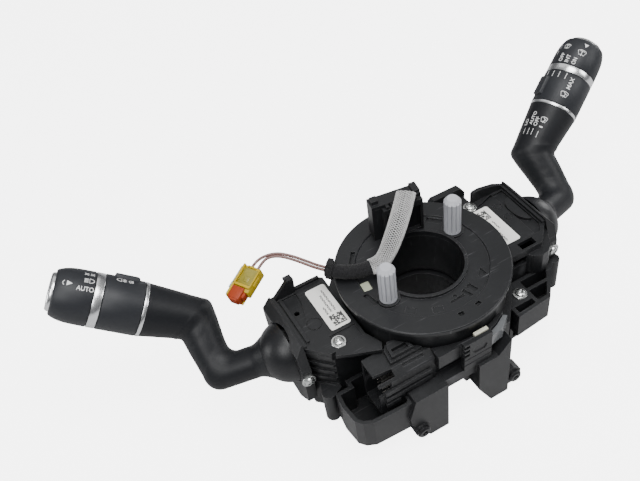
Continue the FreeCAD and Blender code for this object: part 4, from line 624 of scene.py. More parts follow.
def edge_highlight_group():
    """Painted highlight along the edges: paler colour where the rounded normal leaves the flat one.
    """
    name = "worn edges"
    if name in bpy.data.node_groups:
        return bpy.data.node_groups[name]
    tree, given, out = group_tree(
        name,
        [("Colour", "NodeSocketColor", (0.02, 0.02, 0.02, 1)),
         ("Edge colour", "NodeSocketColor", (0.1, 0.1, 0.1, 1)),
         ("Rounded normal", "NodeSocketVector", (0, 0, 1))],
        [("Colour", "NodeSocketColor")])
    turn = node(tree, "ShaderNodeVectorMath", operation="DOT_PRODUCT")
    tree.links.new(given.outputs["Rounded normal"], turn.inputs[0])
    tree.links.new(node(tree, "ShaderNodeNewGeometry").outputs["Normal"], turn.inputs[1])
    edge = spread(tree, turn.outputs["Value"], 0.995, 0.80)
    broken = spread(tree, noisy(tree, 420.0, 3.0, 0.6).outputs["Fac"], 0.35, 0.65, 0.25)
    tree.links.new(mixed(tree, product(tree, edge, broken), given.outputs["Colour"],
                         given.outputs["Edge colour"]), out.inputs["Colour"])
    return tree


def scratch_group():
    """Sparse fine scratches running several ways."""
    name = "fine scratches"
    if name in bpy.data.node_groups:
        return bpy.data.node_groups[name]
    tree, given, out = group_tree(
        name,
        [("Colour", "NodeSocketColor", (0.02, 0.02, 0.02, 1)),
         ("Scratch colour", "NodeSocketColor", (0.1, 0.1, 0.1, 1)),
         ("Amount", "NodeSocketFloat", 0.5)],
        [("Colour", "NodeSocketColor")])
    place = node(tree, "ShaderNodeTexCoord")
    shown = given.outputs["Colour"]
    for turn in (0.5, 1.9, 2.7):
        way = node(tree, "ShaderNodeMapping")
        way.inputs["Rotation"].default_value = (0, 0, turn)
        way.inputs["Scale"].default_value = (40.0, 1500.0, 40.0)
        tree.links.new(place.outputs["Object"], way.inputs["Vector"])
        streak = noisy(tree, 1.0, 2.0, 0.5, way.outputs["Vector"]).outputs["Fac"]
        amount = product(tree, spread(tree, streak, 0.70, 0.78), given.outputs["Amount"])
        shown = mixed(tree, amount, shown, given.outputs["Scratch colour"])
    tree.links.new(shown, out.inputs["Colour"])
    return tree


def principled(name):
    material = bpy.data.materials.new(name)
    material.use_nodes = True
    tree = material.node_tree
    return material, tree, tree.nodes["Principled BSDF"]


def moulded(name, colour, rubbed=None, rough=0.5, grain=1400.0, depth=0.00004, uneven=0.12,
            rubbing=0.25, edge=None, metallic=0.0, level=0.5, coat=0.0, edge_highlight=0.0, scratched=0.0):
    """A moulded, plated or painted finish: grain, blotches, scratches and a painted highlight along
    the edges.
    """
    material, tree, shader = principled(name)
    link = tree.links.new
    surface = node(tree, "ShaderNodeGroup")
    surface.node_tree = moulding_group()
    for label, value in (("Colour", (*colour, 1)), ("Rubbed colour", (*(rubbed or colour), 1)),
                         ("Grain scale", grain), ("Roughness", rough), ("Unevenness", uneven),
                         ("Rubbing", rubbing)):
        surface.inputs[label].default_value = value
    link(surface.outputs["Roughness"], shader.inputs["Roughness"])
    bump = bumped(tree, shader, surface.outputs["Height"], depth)
    shown = surface.outputs["Colour"]
    if edge:
        rounding = node(tree, "ShaderNodeBevel", samples=4, Radius=edge)
        link(rounding.outputs["Normal"], bump.inputs["Normal"])
        # Painted highlight: a paler colour along the rounded edges, broken up by a noise
        if edge_highlight:
            painted_highlight = node(tree, "ShaderNodeGroup")
            painted_highlight.node_tree = edge_highlight_group()
            painted_highlight.inputs["Edge colour"].default_value = (edge_highlight, edge_highlight, edge_highlight * 1.05, 1)
            link(shown, painted_highlight.inputs["Colour"])
            link(rounding.outputs["Normal"], painted_highlight.inputs["Rounded normal"])
            shown = painted_highlight.outputs["Colour"]
    if scratched:
        scratches = node(tree, "ShaderNodeGroup")
        scratches.node_tree = scratch_group()
        scratches.inputs["Scratch colour"].default_value = (0.16, 0.16, 0.17, 1)
        scratches.inputs["Amount"].default_value = scratched
        link(shown, scratches.inputs["Colour"])
        shown = scratches.outputs["Colour"]
    link(shown, shader.inputs["Base Color"])
    shader.inputs["Metallic"].default_value = metallic
    shader.inputs["Specular IOR Level"].default_value = level
    shader.inputs["Coat Weight"].default_value = coat
    return material


# Made while the operators run: finishes, pieces that end the lead wires, skins under the prints
FINISHES = {}
CORD_ENDS = {}
PRINTED_ON = {}


def finish(name):
    """One of the part's finishes, made the first time it is asked for."""
    if name not in FINISHES:
        FINISHES[name] = MAKERS[name]()
    return FINISHES[name]


def housing_finish():
    plastic = bpy.context.scene.stalk_plastic
    # Painted highlight along the edges, with fine scratches
    return moulded("black_housing", plastic.housing, (0.035, 0.036, 0.04), rough=0.40,
                   grain=2600.0, depth=0.00002, uneven=0.25, rubbing=0.2, edge=plastic.edge,
                   level=0.35, edge_highlight=0.07, scratched=0.3)


def disc_finish():
    plastic = bpy.context.scene.stalk_plastic
    # Painted highlight along the edges, with fine scratches
    return moulded("black_disc", [c * 1.15 for c in plastic.housing], (0.04, 0.04, 0.044),
                   rough=0.36, grain=3200.0, depth=0.000012, uneven=0.2, rubbing=0.2,
                   edge=plastic.edge, level=0.35, edge_highlight=0.12, scratched=0.6)


def stalk_finish():
    plastic = bpy.context.scene.stalk_plastic
    return moulded("stalk_soft_black", plastic.stalk, (0.03, 0.032, 0.036), rough=0.48,
                   grain=2000.0, depth=0.00003, uneven=0.1, rubbing=0.12, level=0.4)


def felt_finish():
    """Fuzzy black tape with a woolly surface."""
    material, tree, shader = principled("loom_felt")
    fuzz = noisy(tree, 1600.0, 6.0, 0.75).outputs["Fac"]
    tree.links.new(graded(tree, fuzz, (0.35, (0.004, 0.004, 0.0045)),
                          (0.75, (0.032, 0.032, 0.034))), shader.inputs["Base Color"])
    bumped(tree, shader, fuzz, 0.0004)
    shader.inputs["Roughness"].default_value = 0.95
    shader.inputs["Sheen Weight"].default_value = 0.1
    shader.inputs["Specular IOR Level"].default_value = 0.15
    return material


def braid_finish():
    """Pale plastic yarn, darker where its fine bumps are low."""
    material, tree, shader = principled("braid_yarn")
    thread = noisy(tree, 2400.0, 3.0, 0.6).outputs["Fac"]
    tree.links.new(graded(tree, thread, (0.3, (0.24, 0.235, 0.23)), (0.7, (0.60, 0.60, 0.60))),
                   shader.inputs["Base Color"])
    bumped(tree, shader, thread, 0.0001, 0.6)
    shader.inputs["Roughness"].default_value = 0.4
    return material


MAKERS = {
    "housing": housing_finish,
    "disc": disc_finish,
    "stalk": stalk_finish,
    "lever": lambda: moulded("lever_soft_black", (0.0075, 0.0082, 0.0100),
                             (0.022, 0.024, 0.028), rough=0.46, grain=2000.0, depth=0.00003,
                             uneven=0.1, rubbing=0.12, level=0.27),
    "dome": lambda: moulded("dome_black", (0.0085, 0.009, 0.0105), rough=0.36, grain=1800.0,
                            depth=0.00004, level=0.35),
    "chrome": lambda: moulded("plated_ring", (0.78, 0.79, 0.80), (0.62, 0.63, 0.65), rough=0.26,
                              grain=900.0, depth=0.000004, metallic=1.0, rubbing=0.5),
    "zinc": lambda: moulded("zinc_plate", (0.62, 0.63, 0.62), (0.45, 0.47, 0.48), rough=0.26,
                            grain=700.0, depth=0.00003, metallic=1.0, rubbing=0.8),
    "steel": lambda: moulded("bright_steel", (0.55, 0.55, 0.56), rough=0.25, metallic=1.0),
    "black_screw": lambda: moulded("black_screw", (0.02, 0.02, 0.022), (0.09, 0.09, 0.09),
                                   rough=0.32, metallic=0.6, rubbing=0.5, edge=0.0003),
    "tin": lambda: moulded("tinned_contact", (0.7, 0.69, 0.65), rough=0.3, metallic=1.0),
    "pin": lambda: moulded("drive_pin_plastic", (0.45, 0.46, 0.49), (0.3, 0.31, 0.34), rough=0.4,
                           grain=900.0, depth=0.00004, rubbing=0.4, edge=0.0002),
    "yellow": lambda: moulded("plug_yellow", (0.46, 0.32, 0.012), (0.36, 0.27, 0.02), rough=0.45,
                              grain=1600.0, depth=0.00003, rubbing=0.5, level=0.3),
    "orange": lambda: moulded("lock_orange", (0.30, 0.038, 0.008), (0.30, 0.045, 0.01), rough=0.5,
                              grain=1600.0, depth=0.00003, rubbing=0.5, level=0.3),
    "pale_green": lambda: moulded("pale_green_tab", (0.33, 0.35, 0.26), (0.24, 0.25, 0.19),
                                  rough=0.4, rubbing=0.6),
    "amber": lambda: moulded("plug_amber", (0.24, 0.20, 0.02), (0.34, 0.29, 0.06), rough=0.22,
                             grain=700.0, depth=0.00003, rubbing=0.6, coat=0.3),
    "satin": lambda: moulded("satin_face", (0.52, 0.53, 0.55), (0.42, 0.43, 0.45), rough=0.42,
                             grain=1500.0, depth=0.00001, metallic=0.35, rubbing=0.4),
    "dark_print": lambda: moulded("dark_print", (0.03, 0.03, 0.03), rough=0.5, rubbing=0.0),
    "blue": lambda: moulded("strip_blue", (0.35, 0.52, 0.64), rough=0.45),
    "cream": lambda: moulded("window_cream", (0.62, 0.61, 0.50), rough=0.35, level=0.4),
    "smoke": lambda: moulded("guide_smoke", (0.12, 0.125, 0.13), rough=0.2, coat=0.3),
    "board": lambda: moulded("board_green", (0.02, 0.12, 0.05), (0.3, 0.26, 0.1), rough=0.3,
                             rubbing=0.5),
    "natural": lambda: moulded("natural_plastic", (0.7, 0.68, 0.6), rough=0.4),
    "ribbon": lambda: moulded("ribbon_film", (0.5, 0.3, 0.1), rough=0.25, coat=0.4),
    "label": lambda: moulded("label_film", (0.84, 0.83, 0.80), (0.70, 0.69, 0.66), rough=0.5,
                             grain=600.0, depth=0.00001, rubbing=0.5),
    "print": lambda: moulded("white_print", (0.75, 0.75, 0.75), rough=0.55, rubbing=0.0),
    "ink": lambda: moulded("grey_ink", (0.05, 0.05, 0.05), rough=0.6, rubbing=0.0),
    "wire": lambda: moulded("brown_wire", (0.16, 0.085, 0.075), (0.22, 0.13, 0.12), rough=0.35,
                            rubbing=0.6),
    "felt": felt_finish,
    "braid": braid_finish,
    "braid_core": lambda: moulded("braid_core", (0.035, 0.033, 0.03), rough=0.8, level=0.2),
}


def on_both(*parts):
    """Names of these parts on the light side and the wiper side."""
    return ["%s_%s" % (name, part) for part in parts for name in SIDES]


NODE_FINISHES = {
    "housing": ["base_housing", "spring_case", "connector_shroud", "front_cover",
                "connector_tower", "tower_cap",
                *on_both("module_case", "module_cover", "pivot_frame", "carrier")],
    "disc": ["rotor_disc", "rotor_hub"],
    "stalk": on_both("lever", "collar", "knob"),
    "dome": on_both("dome"),
    "chrome": on_both("thin_ring", "thick_ring", "end_button"),
    "zinc": ["case_screws"],
    "steel": on_both("cross_pin", "button_spring"),
    "black_screw": ["bracket_screws"],
    "tin": ["contact_pins"],
    "pin": ["drive_pins"],
    "yellow": ["airbag_plug"],
    "orange": ["plug_lock"],
    "blue": ["plug_strip"],
    "cream": ["sensor_window"],
    "smoke": ["light_guide"],
    "board": ["angle_sensor_board", *on_both("contact_board")],
    "natural": ["sensor_pinion_a", "sensor_pinion_b", *on_both("detent_plunger")],
    "ribbon": ["spiral_ribbon"],
    "label": on_both("label"),
    "felt": ["cable_tie"],
}


# Operators

class STALK_OT_stage(bpy.types.Operator):
    """Makes the floor, the lights and the camera"""
    bl_idname = "stalk.stage"
    bl_label = "Stage"

    def execute(self, context):
        settings = context.scene.stalk_stage
        self.floor(settings)
        self.lights(context, settings)
        self.camera(context)
        return {"FINISHED"}

    def floor(self, settings):
        reach = 6.0
        drop = 0.0002
        shape = bmesh.new()
        bmesh.ops.create_grid(shape, x_segments=1, y_segments=1, size=reach)
        bmesh.ops.translate(shape, vec=(0, 0, -drop), verts=shape.verts)
        material, tree, shader = principled("floor_paper")
        shader.inputs["Base Color"].default_value = (*settings.floor_colour, 1)
        shader.inputs["Roughness"].default_value = 0.9
        shader.inputs["Emission Color"].default_value = (1, 1, 1, 1)
        seen = node(tree, "ShaderNodeLightPath").outputs["Is Camera Ray"]
        tree.links.new(product(tree, seen, settings.floor_glow),
                       shader.inputs["Emission Strength"])
        mesh_object("floor", shape, material)

    def lights(self, context, settings):
        world = bpy.data.worlds.new("white_room")
        world.use_nodes = True
        tree = world.node_tree
        link = tree.links.new
        parts = node(tree, "ShaderNodeSeparateXYZ")
        link(node(tree, "ShaderNodeTexCoord").outputs["Generated"], parts.inputs[0])
        room = tree.nodes["Background"]
        room.inputs["Strength"].default_value = settings.room_light
        link(graded(tree, parts.outputs["Z"], (0.0, (0.22, 0.22, 0.23)), (0.95, (1, 1, 1))),
             room.inputs["Color"])
        seen = node(tree, "ShaderNodeBackground", Color=(1, 1, 1, 1),
                    Strength=settings.floor_glow)
        choice = node(tree, "ShaderNodeMixShader")
        link(node(tree, "ShaderNodeLightPath").outputs["Is Camera Ray"], choice.inputs[0])
        link(room.outputs[0], choice.inputs[1])
        link(seen.outputs[0], choice.inputs[2])
        link(choice.outputs[0], tree.nodes["World Output"].inputs["Surface"])
        context.scene.world = world
        target = Vector((0, 0, 0.05))
        for name, power, place, span in LAMPS:
            data = bpy.data.lights.new(name, "AREA")
            data.energy = getattr(settings, power)
            data.size = span
            lamp = new_object(name, data)
            lamp.location = place
            lamp.rotation_mode = "QUATERNION"
            aim = target - Vector(place)
            lamp.rotation_quaternion = aim.to_track_quat("-Z", "Y")

    def camera(self, context):
        turn, rise, roll = (math.radians(angle) for angle in CAMERA_ANGLES)
        back = Vector((math.sin(turn) * math.cos(rise), -math.cos(turn) * math.cos(rise),
                       math.sin(rise)))
        level = Vector((math.cos(turn), math.sin(turn), 0))
        above = back.cross(level)
        right = level * math.cos(roll) + above * math.sin(roll)
        up = -level * math.sin(roll) + above * math.cos(roll)
        data = bpy.data.cameras.new("camera")
        data.sensor_width = SENSOR_WIDTH
        data.lens = FOCAL_PIXELS / PICTURE_WIDTH * SENSOR_WIDTH
        data.clip_start = 0.01
        data.clip_end = 20.0
        camera = new_object("camera", data)
        place = Matrix((right, up, back)).transposed().to_4x4()
        place.translation = Vector(CAMERA_PLACE)
        camera.matrix_world = place
        context.scene.camera = camera


class STALK_OT_wires(bpy.types.Operator):
    """Makes the two lead wires between the loom and the airbag plug"""
    bl_idname = "stalk.wires"
    bl_label = "Lead wires"

    def execute(self, context):
        wire = context.scene.stalk_lead.wire
        for name, route in WIRE_ROUTES.items():
            data = spline_curve(name + "_jacket", route, wire / 2)
            data.materials.append(finish("wire"))
            piece = new_object(name + "_jacket", data)
            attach(piece, "rotor")
            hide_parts(name)
            length = line_of(route, 80)[2]
        return {"FINISHED"}


class STALK_OT_sleeve(bpy.types.Operator):
    """Braids the flattened sleeve strand by strand over a dark core"""
    bl_idname = "stalk.sleeve"
    bl_label = "Braided sleeve"

    def execute(self, context):
        lead = context.scene.stalk_lead
        steps = 150
        places, along, _ = line_of(SLEEVE_ROUTE, steps)
        across = [Vector((-a.y, a.x, 0)).normalized() for a in along]
        above = [a.cross(c) for a, c in zip(along, across)]
        half = lead.sleeve_width / 2
        thick = lead.sleeve_thickness / 2
        turns = 2.4
        strand_radius = 0.00031
        weave_height = 0.00016
        core_depth = 0.0005

        def skin(step, angle, out=0.0):
            """A point on the flattened round of the sleeve."""
            flat = math.cos(angle)
            tall = math.sin(angle)
            wide = math.copysign(abs(flat) ** 0.8, flat) * (half + out)
            high = math.copysign(abs(tall) ** 0.75, tall) * (thick + out)
            return places[step] + across[step] * wide + above[step] * high

        data = bpy.data.curves.new("braid", "CURVE")
        data.dimensions = "3D"
        data.bevel_depth = strand_radius
        data.bevel_resolution = 0
        data.resolution_u = 1
        for way in (-1, 1):
            for number in range(lead.strands):
                spline = data.splines.new("POLY")
                spline.points.add(steps - 1)
                for step in range(steps):
                    share = step / (steps - 1)
                    angle = math.tau * (number / lead.strands + way * turns * share)
                    weave = way * math.cos(lead.strands * (angle - way * math.tau * turns * share)
                                           + math.tau * lead.strands * turns * share)
                    spline.points[step].co = (*skin(step, angle, weave_height * weave), 1.0)
        mesh = taken(new_object("braid", data))
        mesh.materials.clear()
        mesh.materials.append(finish("braid"))
        mesh.shade_smooth()
        braid = new_object("sleeve_braid", mesh)
        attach(braid, "rotor")
        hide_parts("braided_sleeve")
        core = bmesh.new()
        rounds = 24
        rings = [[core.verts.new(skin(step, math.tau * k / rounds, -core_depth))
                  for k in range(rounds)] for step in range(0, steps, 6)]
        bridged(core, rings)
        inner = mesh_object("sleeve_core", core, finish("braid_core"), 60)
        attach(inner, "rotor")
        return {"FINISHED"}


class STALK_OT_loom(bpy.types.Operator):
    """Wraps the loom in overlapping turns of felt tape"""
    bl_idname = "stalk.loom"
    bl_label = "Taped loom"

    def execute(self, context):
        radius = context.scene.stalk_lead.loom / 2
        places, along, _ = line_of(LOOM_ROUTE, 160)
        rounds = 72
        turns = 5.0
        shape = bmesh.new()
        rings = []
        for step, (place, forward) in enumerate(zip(places, along)):
            across = Vector((-forward.y, forward.x, 0)).normalized()
            above = forward.cross(across)
            ring = []
            for k in range(rounds):
                angle = math.tau * k / rounds
                lap = (step / (len(places) - 1) * turns + k / rounds) % 1.0
                wool = noise.noise(Vector((step * 0.45, k * 0.45, 3.0)))
                fuzz = noise.noise(Vector((step * 1.7, k * 1.7, 9.0)))
                out = radius * (0.90 + 0.07 * lap + 0.04 * wool + 0.035 * fuzz)
                ring.append(shape.verts.new(place + across * math.cos(angle) * out
                                            + above * math.sin(angle) * out))
            rings.append(ring)
        bridged(shape, rings)
        piece = mesh_object("loom_tape", shape, finish("felt"), 50)
        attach(piece, "rotor")
        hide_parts("wrapped_loom")
        return {"FINISHED"}


class STALK_OT_prints(bpy.types.Operator):
    """Prints the function words and symbols on both stalks"""
    bl_idname = "stalk.prints"
    bl_label = "Prints"

    def execute(self, context):
        cell = 0.0006
        wrap_radius = 0.0155
        above_skin = 0.03
        lift = 0.00002
        for name, side in SIDES.items():
            place = stalk_matrix(side)
            out = place.col[2].xyz
            level = place.col[0].xyz
            over = place.col[1].xyz
            whole = {}
            for part, mark, angle, along, turn, wide, high in PRINTS[name]:
                drawing = drawn(mark[1:], wide / 1000, high / 1000) if mark[0] == "*" else \
                    lettered(mark, wide / 1000, high / 1000)
                drawing.transform(Matrix.Rotation(math.radians(turn), 4, "Z"))
                shape = bmesh.new()
                shape.from_mesh(drawing)
                bpy.data.meshes.remove(drawing)
                cut_across(shape, cell)
                skin = BVHTree.FromObject(PRINTED_ON[name + "_" + part],
                                          context.evaluated_depsgraph_get())
                for vert in shape.verts:
                    turned_by = math.radians(angle) - vert.co.y / wrap_radius
                    radial = level * math.cos(turned_by) + over * math.sin(turned_by)
                    axis = place.translation + out * (along / 1000 + side * vert.co.x)
                    hit = skin.ray_cast(axis + radial * above_skin, -radial)[0]
                    if hit is None:
                        raise RuntimeError("no surface under the print " + mark)
                    vert.co = hit + radial * (lift + vert.co.z)
                mesh = bpy.data.meshes.new("print")
                shape.to_mesh(mesh)
                shape.free()
                whole.setdefault(part, []).append(mesh)
            for part, meshes in whole.items():
                shape = bmesh.new()
                for mesh in meshes:
                    shape.from_mesh(mesh)
                    bpy.data.meshes.remove(mesh)
                ink = finish("dark_print" if part == "thick_ring" else "print")
                piece = mesh_object("%s_%s_print" % (name, part), shape, ink)
                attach(piece, "%s_%s" % (name, STALK_BODIES[part]))
        return {"FINISHED"}


class STALK_OT_collars(bpy.types.Operator):
    """Turns the collars and raises their smooth thumb lugs"""
    bl_idname = "stalk.collars"
    bl_label = "Collars"

    def execute(self, context):
        start, stop = COLLAR
        outline = [(STALK_HOLE, start), (0.0153, start), (0.01562, start + 0.0001),
                   (0.0158, start + 0.0004), (0.0158, stop - 0.0004), (0.01562, stop - 0.0001),
                   (0.0153, stop), (STALK_HOLE, stop), (STALK_HOLE, start)]
        turn = Matrix.Rotation(math.radians(45.0), 3, "Z")
        for name, side in SIDES.items():
            tube = bmesh.new()
            turned(tube, outline, TURNED_STEPS)
            pad = bmesh.new()
            box(pad, (0.0120, -0.0046, start + 0.0026), (0.0174, 0.0046, start + 0.0178),
                0.0011, 4)
            outer = [vert for vert in pad.verts if vert.co.x > 0.015]
            bmesh.ops.scale(pad, vec=(1, 0.84, 0.9), verts=outer,
                            space=Matrix.Translation((0, 0, -start - 0.0102)))
            bmesh.ops.rotate(pad, cent=(0, 0, 0), matrix=turn, verts=pad.verts)
            done = combined(new_object("tube", plain_mesh("tube", tube)),
                            new_object("pad", plain_mesh("pad", pad)), "UNION")
            shape = bmesh.new()
            shape.from_mesh(done)
            bmesh.ops.transform(shape, matrix=stalk_matrix(side), verts=shape.verts)
            ring = mesh_object(name + "_collar_grip", shape, finish("stalk"), 32)
            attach(ring, name + "_ring_switch")
            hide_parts(name + "_collar")
            PRINTED_ON[name + "_collar"] = ring
        return {"FINISHED"}


class STALK_OT_levers(bpy.types.Operator):
    """Gives each lever and dome one skin without seams in its shading"""
    bl_idname = "stalk.levers"
    bl_label = "Levers"

    def execute(self, context):
        elbow_reach = 0.019
        elbow_end = 0.009
        rounds = 12
        for name, side in SIDES.items():
            bend = Vector((side * ELBOW.x, ELBOW.y, ELBOW.z))
            upright = stalk_matrix(side).inverted()
            for part, slot in (("lever", "soft_touch"), ("dome", "black_plastic")):
                label = name + "_" + part
                shape = bmesh.new()
                shape.from_mesh(NODES[label].data)
                bmesh.ops.remove_doubles(shape, verts=shape.verts, dist=2e-5)
                bmesh.ops.dissolve_degenerate(shape, edges=shape.edges, dist=1e-6)
                around = [vert for vert in shape.verts if (vert.co - bend).length < elbow_reach
                          and (upright @ vert.co).z < elbow_end]
                for _ in range(rounds):
                    bmesh.ops.smooth_vert(shape, verts=around, factor=0.5, use_axis_x=True,
                                          use_axis_y=True, use_axis_z=True)
                piece = mesh_object(label + "_skin", shape, finish(part), 48)
                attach(piece, name + "_stalk")
                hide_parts(name + "_" + part)
                PRINTED_ON[label] = piece
        return {"FINISHED"}


class STALK_OT_tab(bpy.types.Operator):
    """Lays the pale tab in the disc beside the loom"""
    bl_idname = "stalk.tab"
    bl_label = "Pale tab"

    def execute(self, context):
        spot = (-0.0345, 0.0035)
        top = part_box("rotor_disc")[1].z
        surface = BVHTree.FromObject(NODES["rotor_disc"], context.evaluated_depsgraph_get())
        hit = surface.ray_cast(Vector((*spot, top + 0.01)), -UP)[0]
        shape = bmesh.new()
        box(shape, (-0.0025, -0.0032, -0.0004), (0.0025, 0.0032, 0.00035), 0.0003, 3)
        bmesh.ops.rotate(shape, cent=(0, 0, 0), matrix=Matrix.Rotation(math.radians(-6), 3, "Z"),
                         verts=shape.verts)
        bmesh.ops.translate(shape, vec=hit, verts=shape.verts)
        piece = mesh_object("disc_tab", shape, finish("pale_green"), 35)
        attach(piece, "rotor")
        return {"FINISHED"}


class STALK_OT_tips(bpy.types.Operator):
    """Turns the plated rings, the tip knobs and the end buttons with their satin faces"""
    bl_idname = "stalk.tips"
    bl_label = "Rings, knobs and end buttons"

    def ring(self, ends, bevel):
        """Outline of a plated ring between two places along the stalk."""
        start, stop = ends
        soft = bevel * 0.3
        return [(STALK_HOLE, start), (GRIP_RADIUS - bevel, start),
                (GRIP_RADIUS - soft, start + soft), (GRIP_RADIUS, start + bevel),
                (GRIP_RADIUS, stop - bevel), (GRIP_RADIUS - soft, stop - soft),
                (GRIP_RADIUS - bevel, stop), (STALK_HOLE, stop), (STALK_HOLE, start)]

    def execute(self, context):
        start, tip = KNOB
        floor = 0.0729
        face = 0.0838
        under = 0.0750
        knob = [(STALK_HOLE, start), (0.0152, start), (0.01552, start + 0.0001),
                (GRIP_RADIUS, start + 0.0004), (0.01560, tip - 0.0130), (0.0154, tip - 0.0095),
                (0.01500, tip - 0.0065), (0.0145, tip - 0.0044), (0.0139, tip - 0.0026),
                (0.01335, tip - 0.0013), (0.0129, tip - 0.0005), (0.0124, tip - 0.0001),
                (0.0119, tip), (0.0114, tip - 0.0003), (0.0113, tip - 0.001), (0.0113, floor),
                (STALK_HOLE, floor), (STALK_HOLE, start)]
        cap = [(0, under + 0.0016), (0.006, under + 0.0016), (0.006, under), (0.011, under),
               (0.011, face - 0.0019), (0.01085, face - 0.0011), (0.0104, face - 0.0004),
               (0.0099, face - 0.00005), (0.0096, face - 0.0001), (0.0094, face - 0.0004),
               (0, face - 0.0004)]
        disc = [(0, face - 0.0005), (0.0093, face - 0.0005), (0.0093, face - 0.0002),
                (0.0091, face - 0.00005), (0.0070, face + 0.00012), (0.0035, face + 0.00024),
                (0, face + 0.0003)]
        pieces = [
            ("thin_ring_grip", self.ring(THIN_RING, 0.00025), "chrome", "_stalk",
             "chromed_plastic", "_thin_ring"),
            ("thick_ring_grip", self.ring(THICK_RING, 0.0004), "chrome", "_stalk",
             "chromed_plastic", "_thick_ring"),
            ("knob_grip", knob, "stalk", "_tip_switch", "soft_touch", "_knob"),
            ("button_cap", cap, "chrome", "_tip_button", "chromed_plastic", "_end_button"),
            ("button_face", disc, "satin", "_tip_button", "chromed_plastic", None),
        ]
        for name, side in SIDES.items():
            for label, outline, look, body, slot, node_name in pieces:
                shape = bmesh.new()
                turned(shape, outline, TURNED_STEPS)
                bmesh.ops.transform(shape, matrix=stalk_matrix(side), verts=shape.verts)
                piece = mesh_object("%s_%s" % (name, label), shape, finish(look), 35)
                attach(piece, name + body)
                if node_name:
                    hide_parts(name + node_name)
                    PRINTED_ON[name + node_name] = piece
        return {"FINISHED"}


class STALK_OT_screws(bpy.types.Operator):
    """Makes the zinc screws with their flanges and cross recesses"""
    bl_idname = "stalk.screws"
    bl_label = "Zinc screws"

    def execute(self, context):
        outline = [(0, -0.0042), (0.0012, -0.0042), (0.0016, -0.0036), (0.0016, 0), (0.0042, 0),
                   (0.0042, 0.0006), (0.0040, 0.0008), (0.0032, 0.00085), (0.0030, 0.0007),
                   (0.0029, 0.0012), (0.0027, 0.0018), (0.0021, 0.0022), (0.0012, 0.0024),
                   (0, 0.00245)]
        whole = bmesh.new()
        for origin, normal, turn in SCREWS:
            screw = bmesh.new()
            turned(screw, outline, 40)
            recess = bmesh.new()
            for wide, deep in ((0.0019, 0.00042), (0.00042, 0.0019)):
                box(recess, (-wide, -deep, 0.0012), (wide, deep, 0.004))
            turned(recess, [(0, 0.0008), (0.0009, 0.0012), (0.0012, 0.003), (0, 0.003)], 12)
            head = combined(new_object("screw", plain_mesh("screw", screw)),
                            new_object("recess", plain_mesh("recess", recess)),
                            "DIFFERENCE", use_self=True)
            sideways = Matrix.Rotation(math.radians(turn), 3, normal) @ Vector((1, 0, 0))
            head.transform(frame_matrix(Vector(origin), sideways, normal))
            whole.from_mesh(head)
            bpy.data.meshes.remove(head)
        piece = mesh_object("cover_screws", whole, finish("zinc"), 35)
        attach(piece, "base")
        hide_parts("case_screws")
        return {"FINISHED"}


class STALK_OT_labels(bpy.types.Operator):
    """Fills the two labels with plain lines and a field of dots"""
    bl_idname = "stalk.labels"
    bl_label = "Label marks"

    def field(self, shape, low, high, columns, rows, dark):
        """Thin cells of ink on a grid, where dark says so."""
        made = bmesh.ops.create_grid(shape, x_segments=columns, y_segments=rows, size=0.5)
        verts = made["verts"]
        faces = list({face for vert in verts for face in vert.link_faces})
        gone = []
        for face in faces:
            middle = face.calc_center_median()
            if not dark(int((middle.x + 0.5) * columns), int((middle.y + 0.5) * rows)):
                gone.append(face)
        bmesh.ops.scale(shape, vec=(high[0] - low[0], high[1] - low[1], 1), verts=verts)
        bmesh.ops.translate(shape, vec=((low[0] + high[0]) / 2, (low[1] + high[1]) / 2, low[2]),
                            verts=verts)
        bmesh.ops.delete(shape, geom=gone, context="FACES")

    def execute(self, context):
        def dot(column, row):
            corner = column % 9 in (0, 8) and row % 9 in (0, 8)
            return corner or (column * 7 + row * 5 + column * row * 3) % 7 < 4

        cells = 11
        line_cells = 60
        lift = 0.00001
        ink = 0.00003
        for name, ((left, right, near, far), line_width, lines) in LABEL_MARKS.items():
            low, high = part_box(name + "_label")
            level = high.z + lift
            across = high.x - low.x
            length = high.y - low.y
            shape = bmesh.new()
            self.field(shape, (low.x + across * left, low.y + length * near, level),
                       (low.x + across * right, low.y + length * far, level), cells, cells, dot)
            for number, (place, start, stop) in enumerate(lines):
                at = low.x + across * place
                sides = sorted((at, at + line_width))
                self.field(shape, (sides[0], low.y + length * start, level),
                           (sides[1], low.y + length * stop, level), 3,
                           int(line_cells * (stop - start)),
                           lambda column, row, n=number: (row * 5 + column * 3 + n) % 7 < 4)
            raised(shape, ink)
            piece = mesh_object(name + "_label_marks", shape, finish("ink"))
            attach(piece, "base")
        return {"FINISHED"}


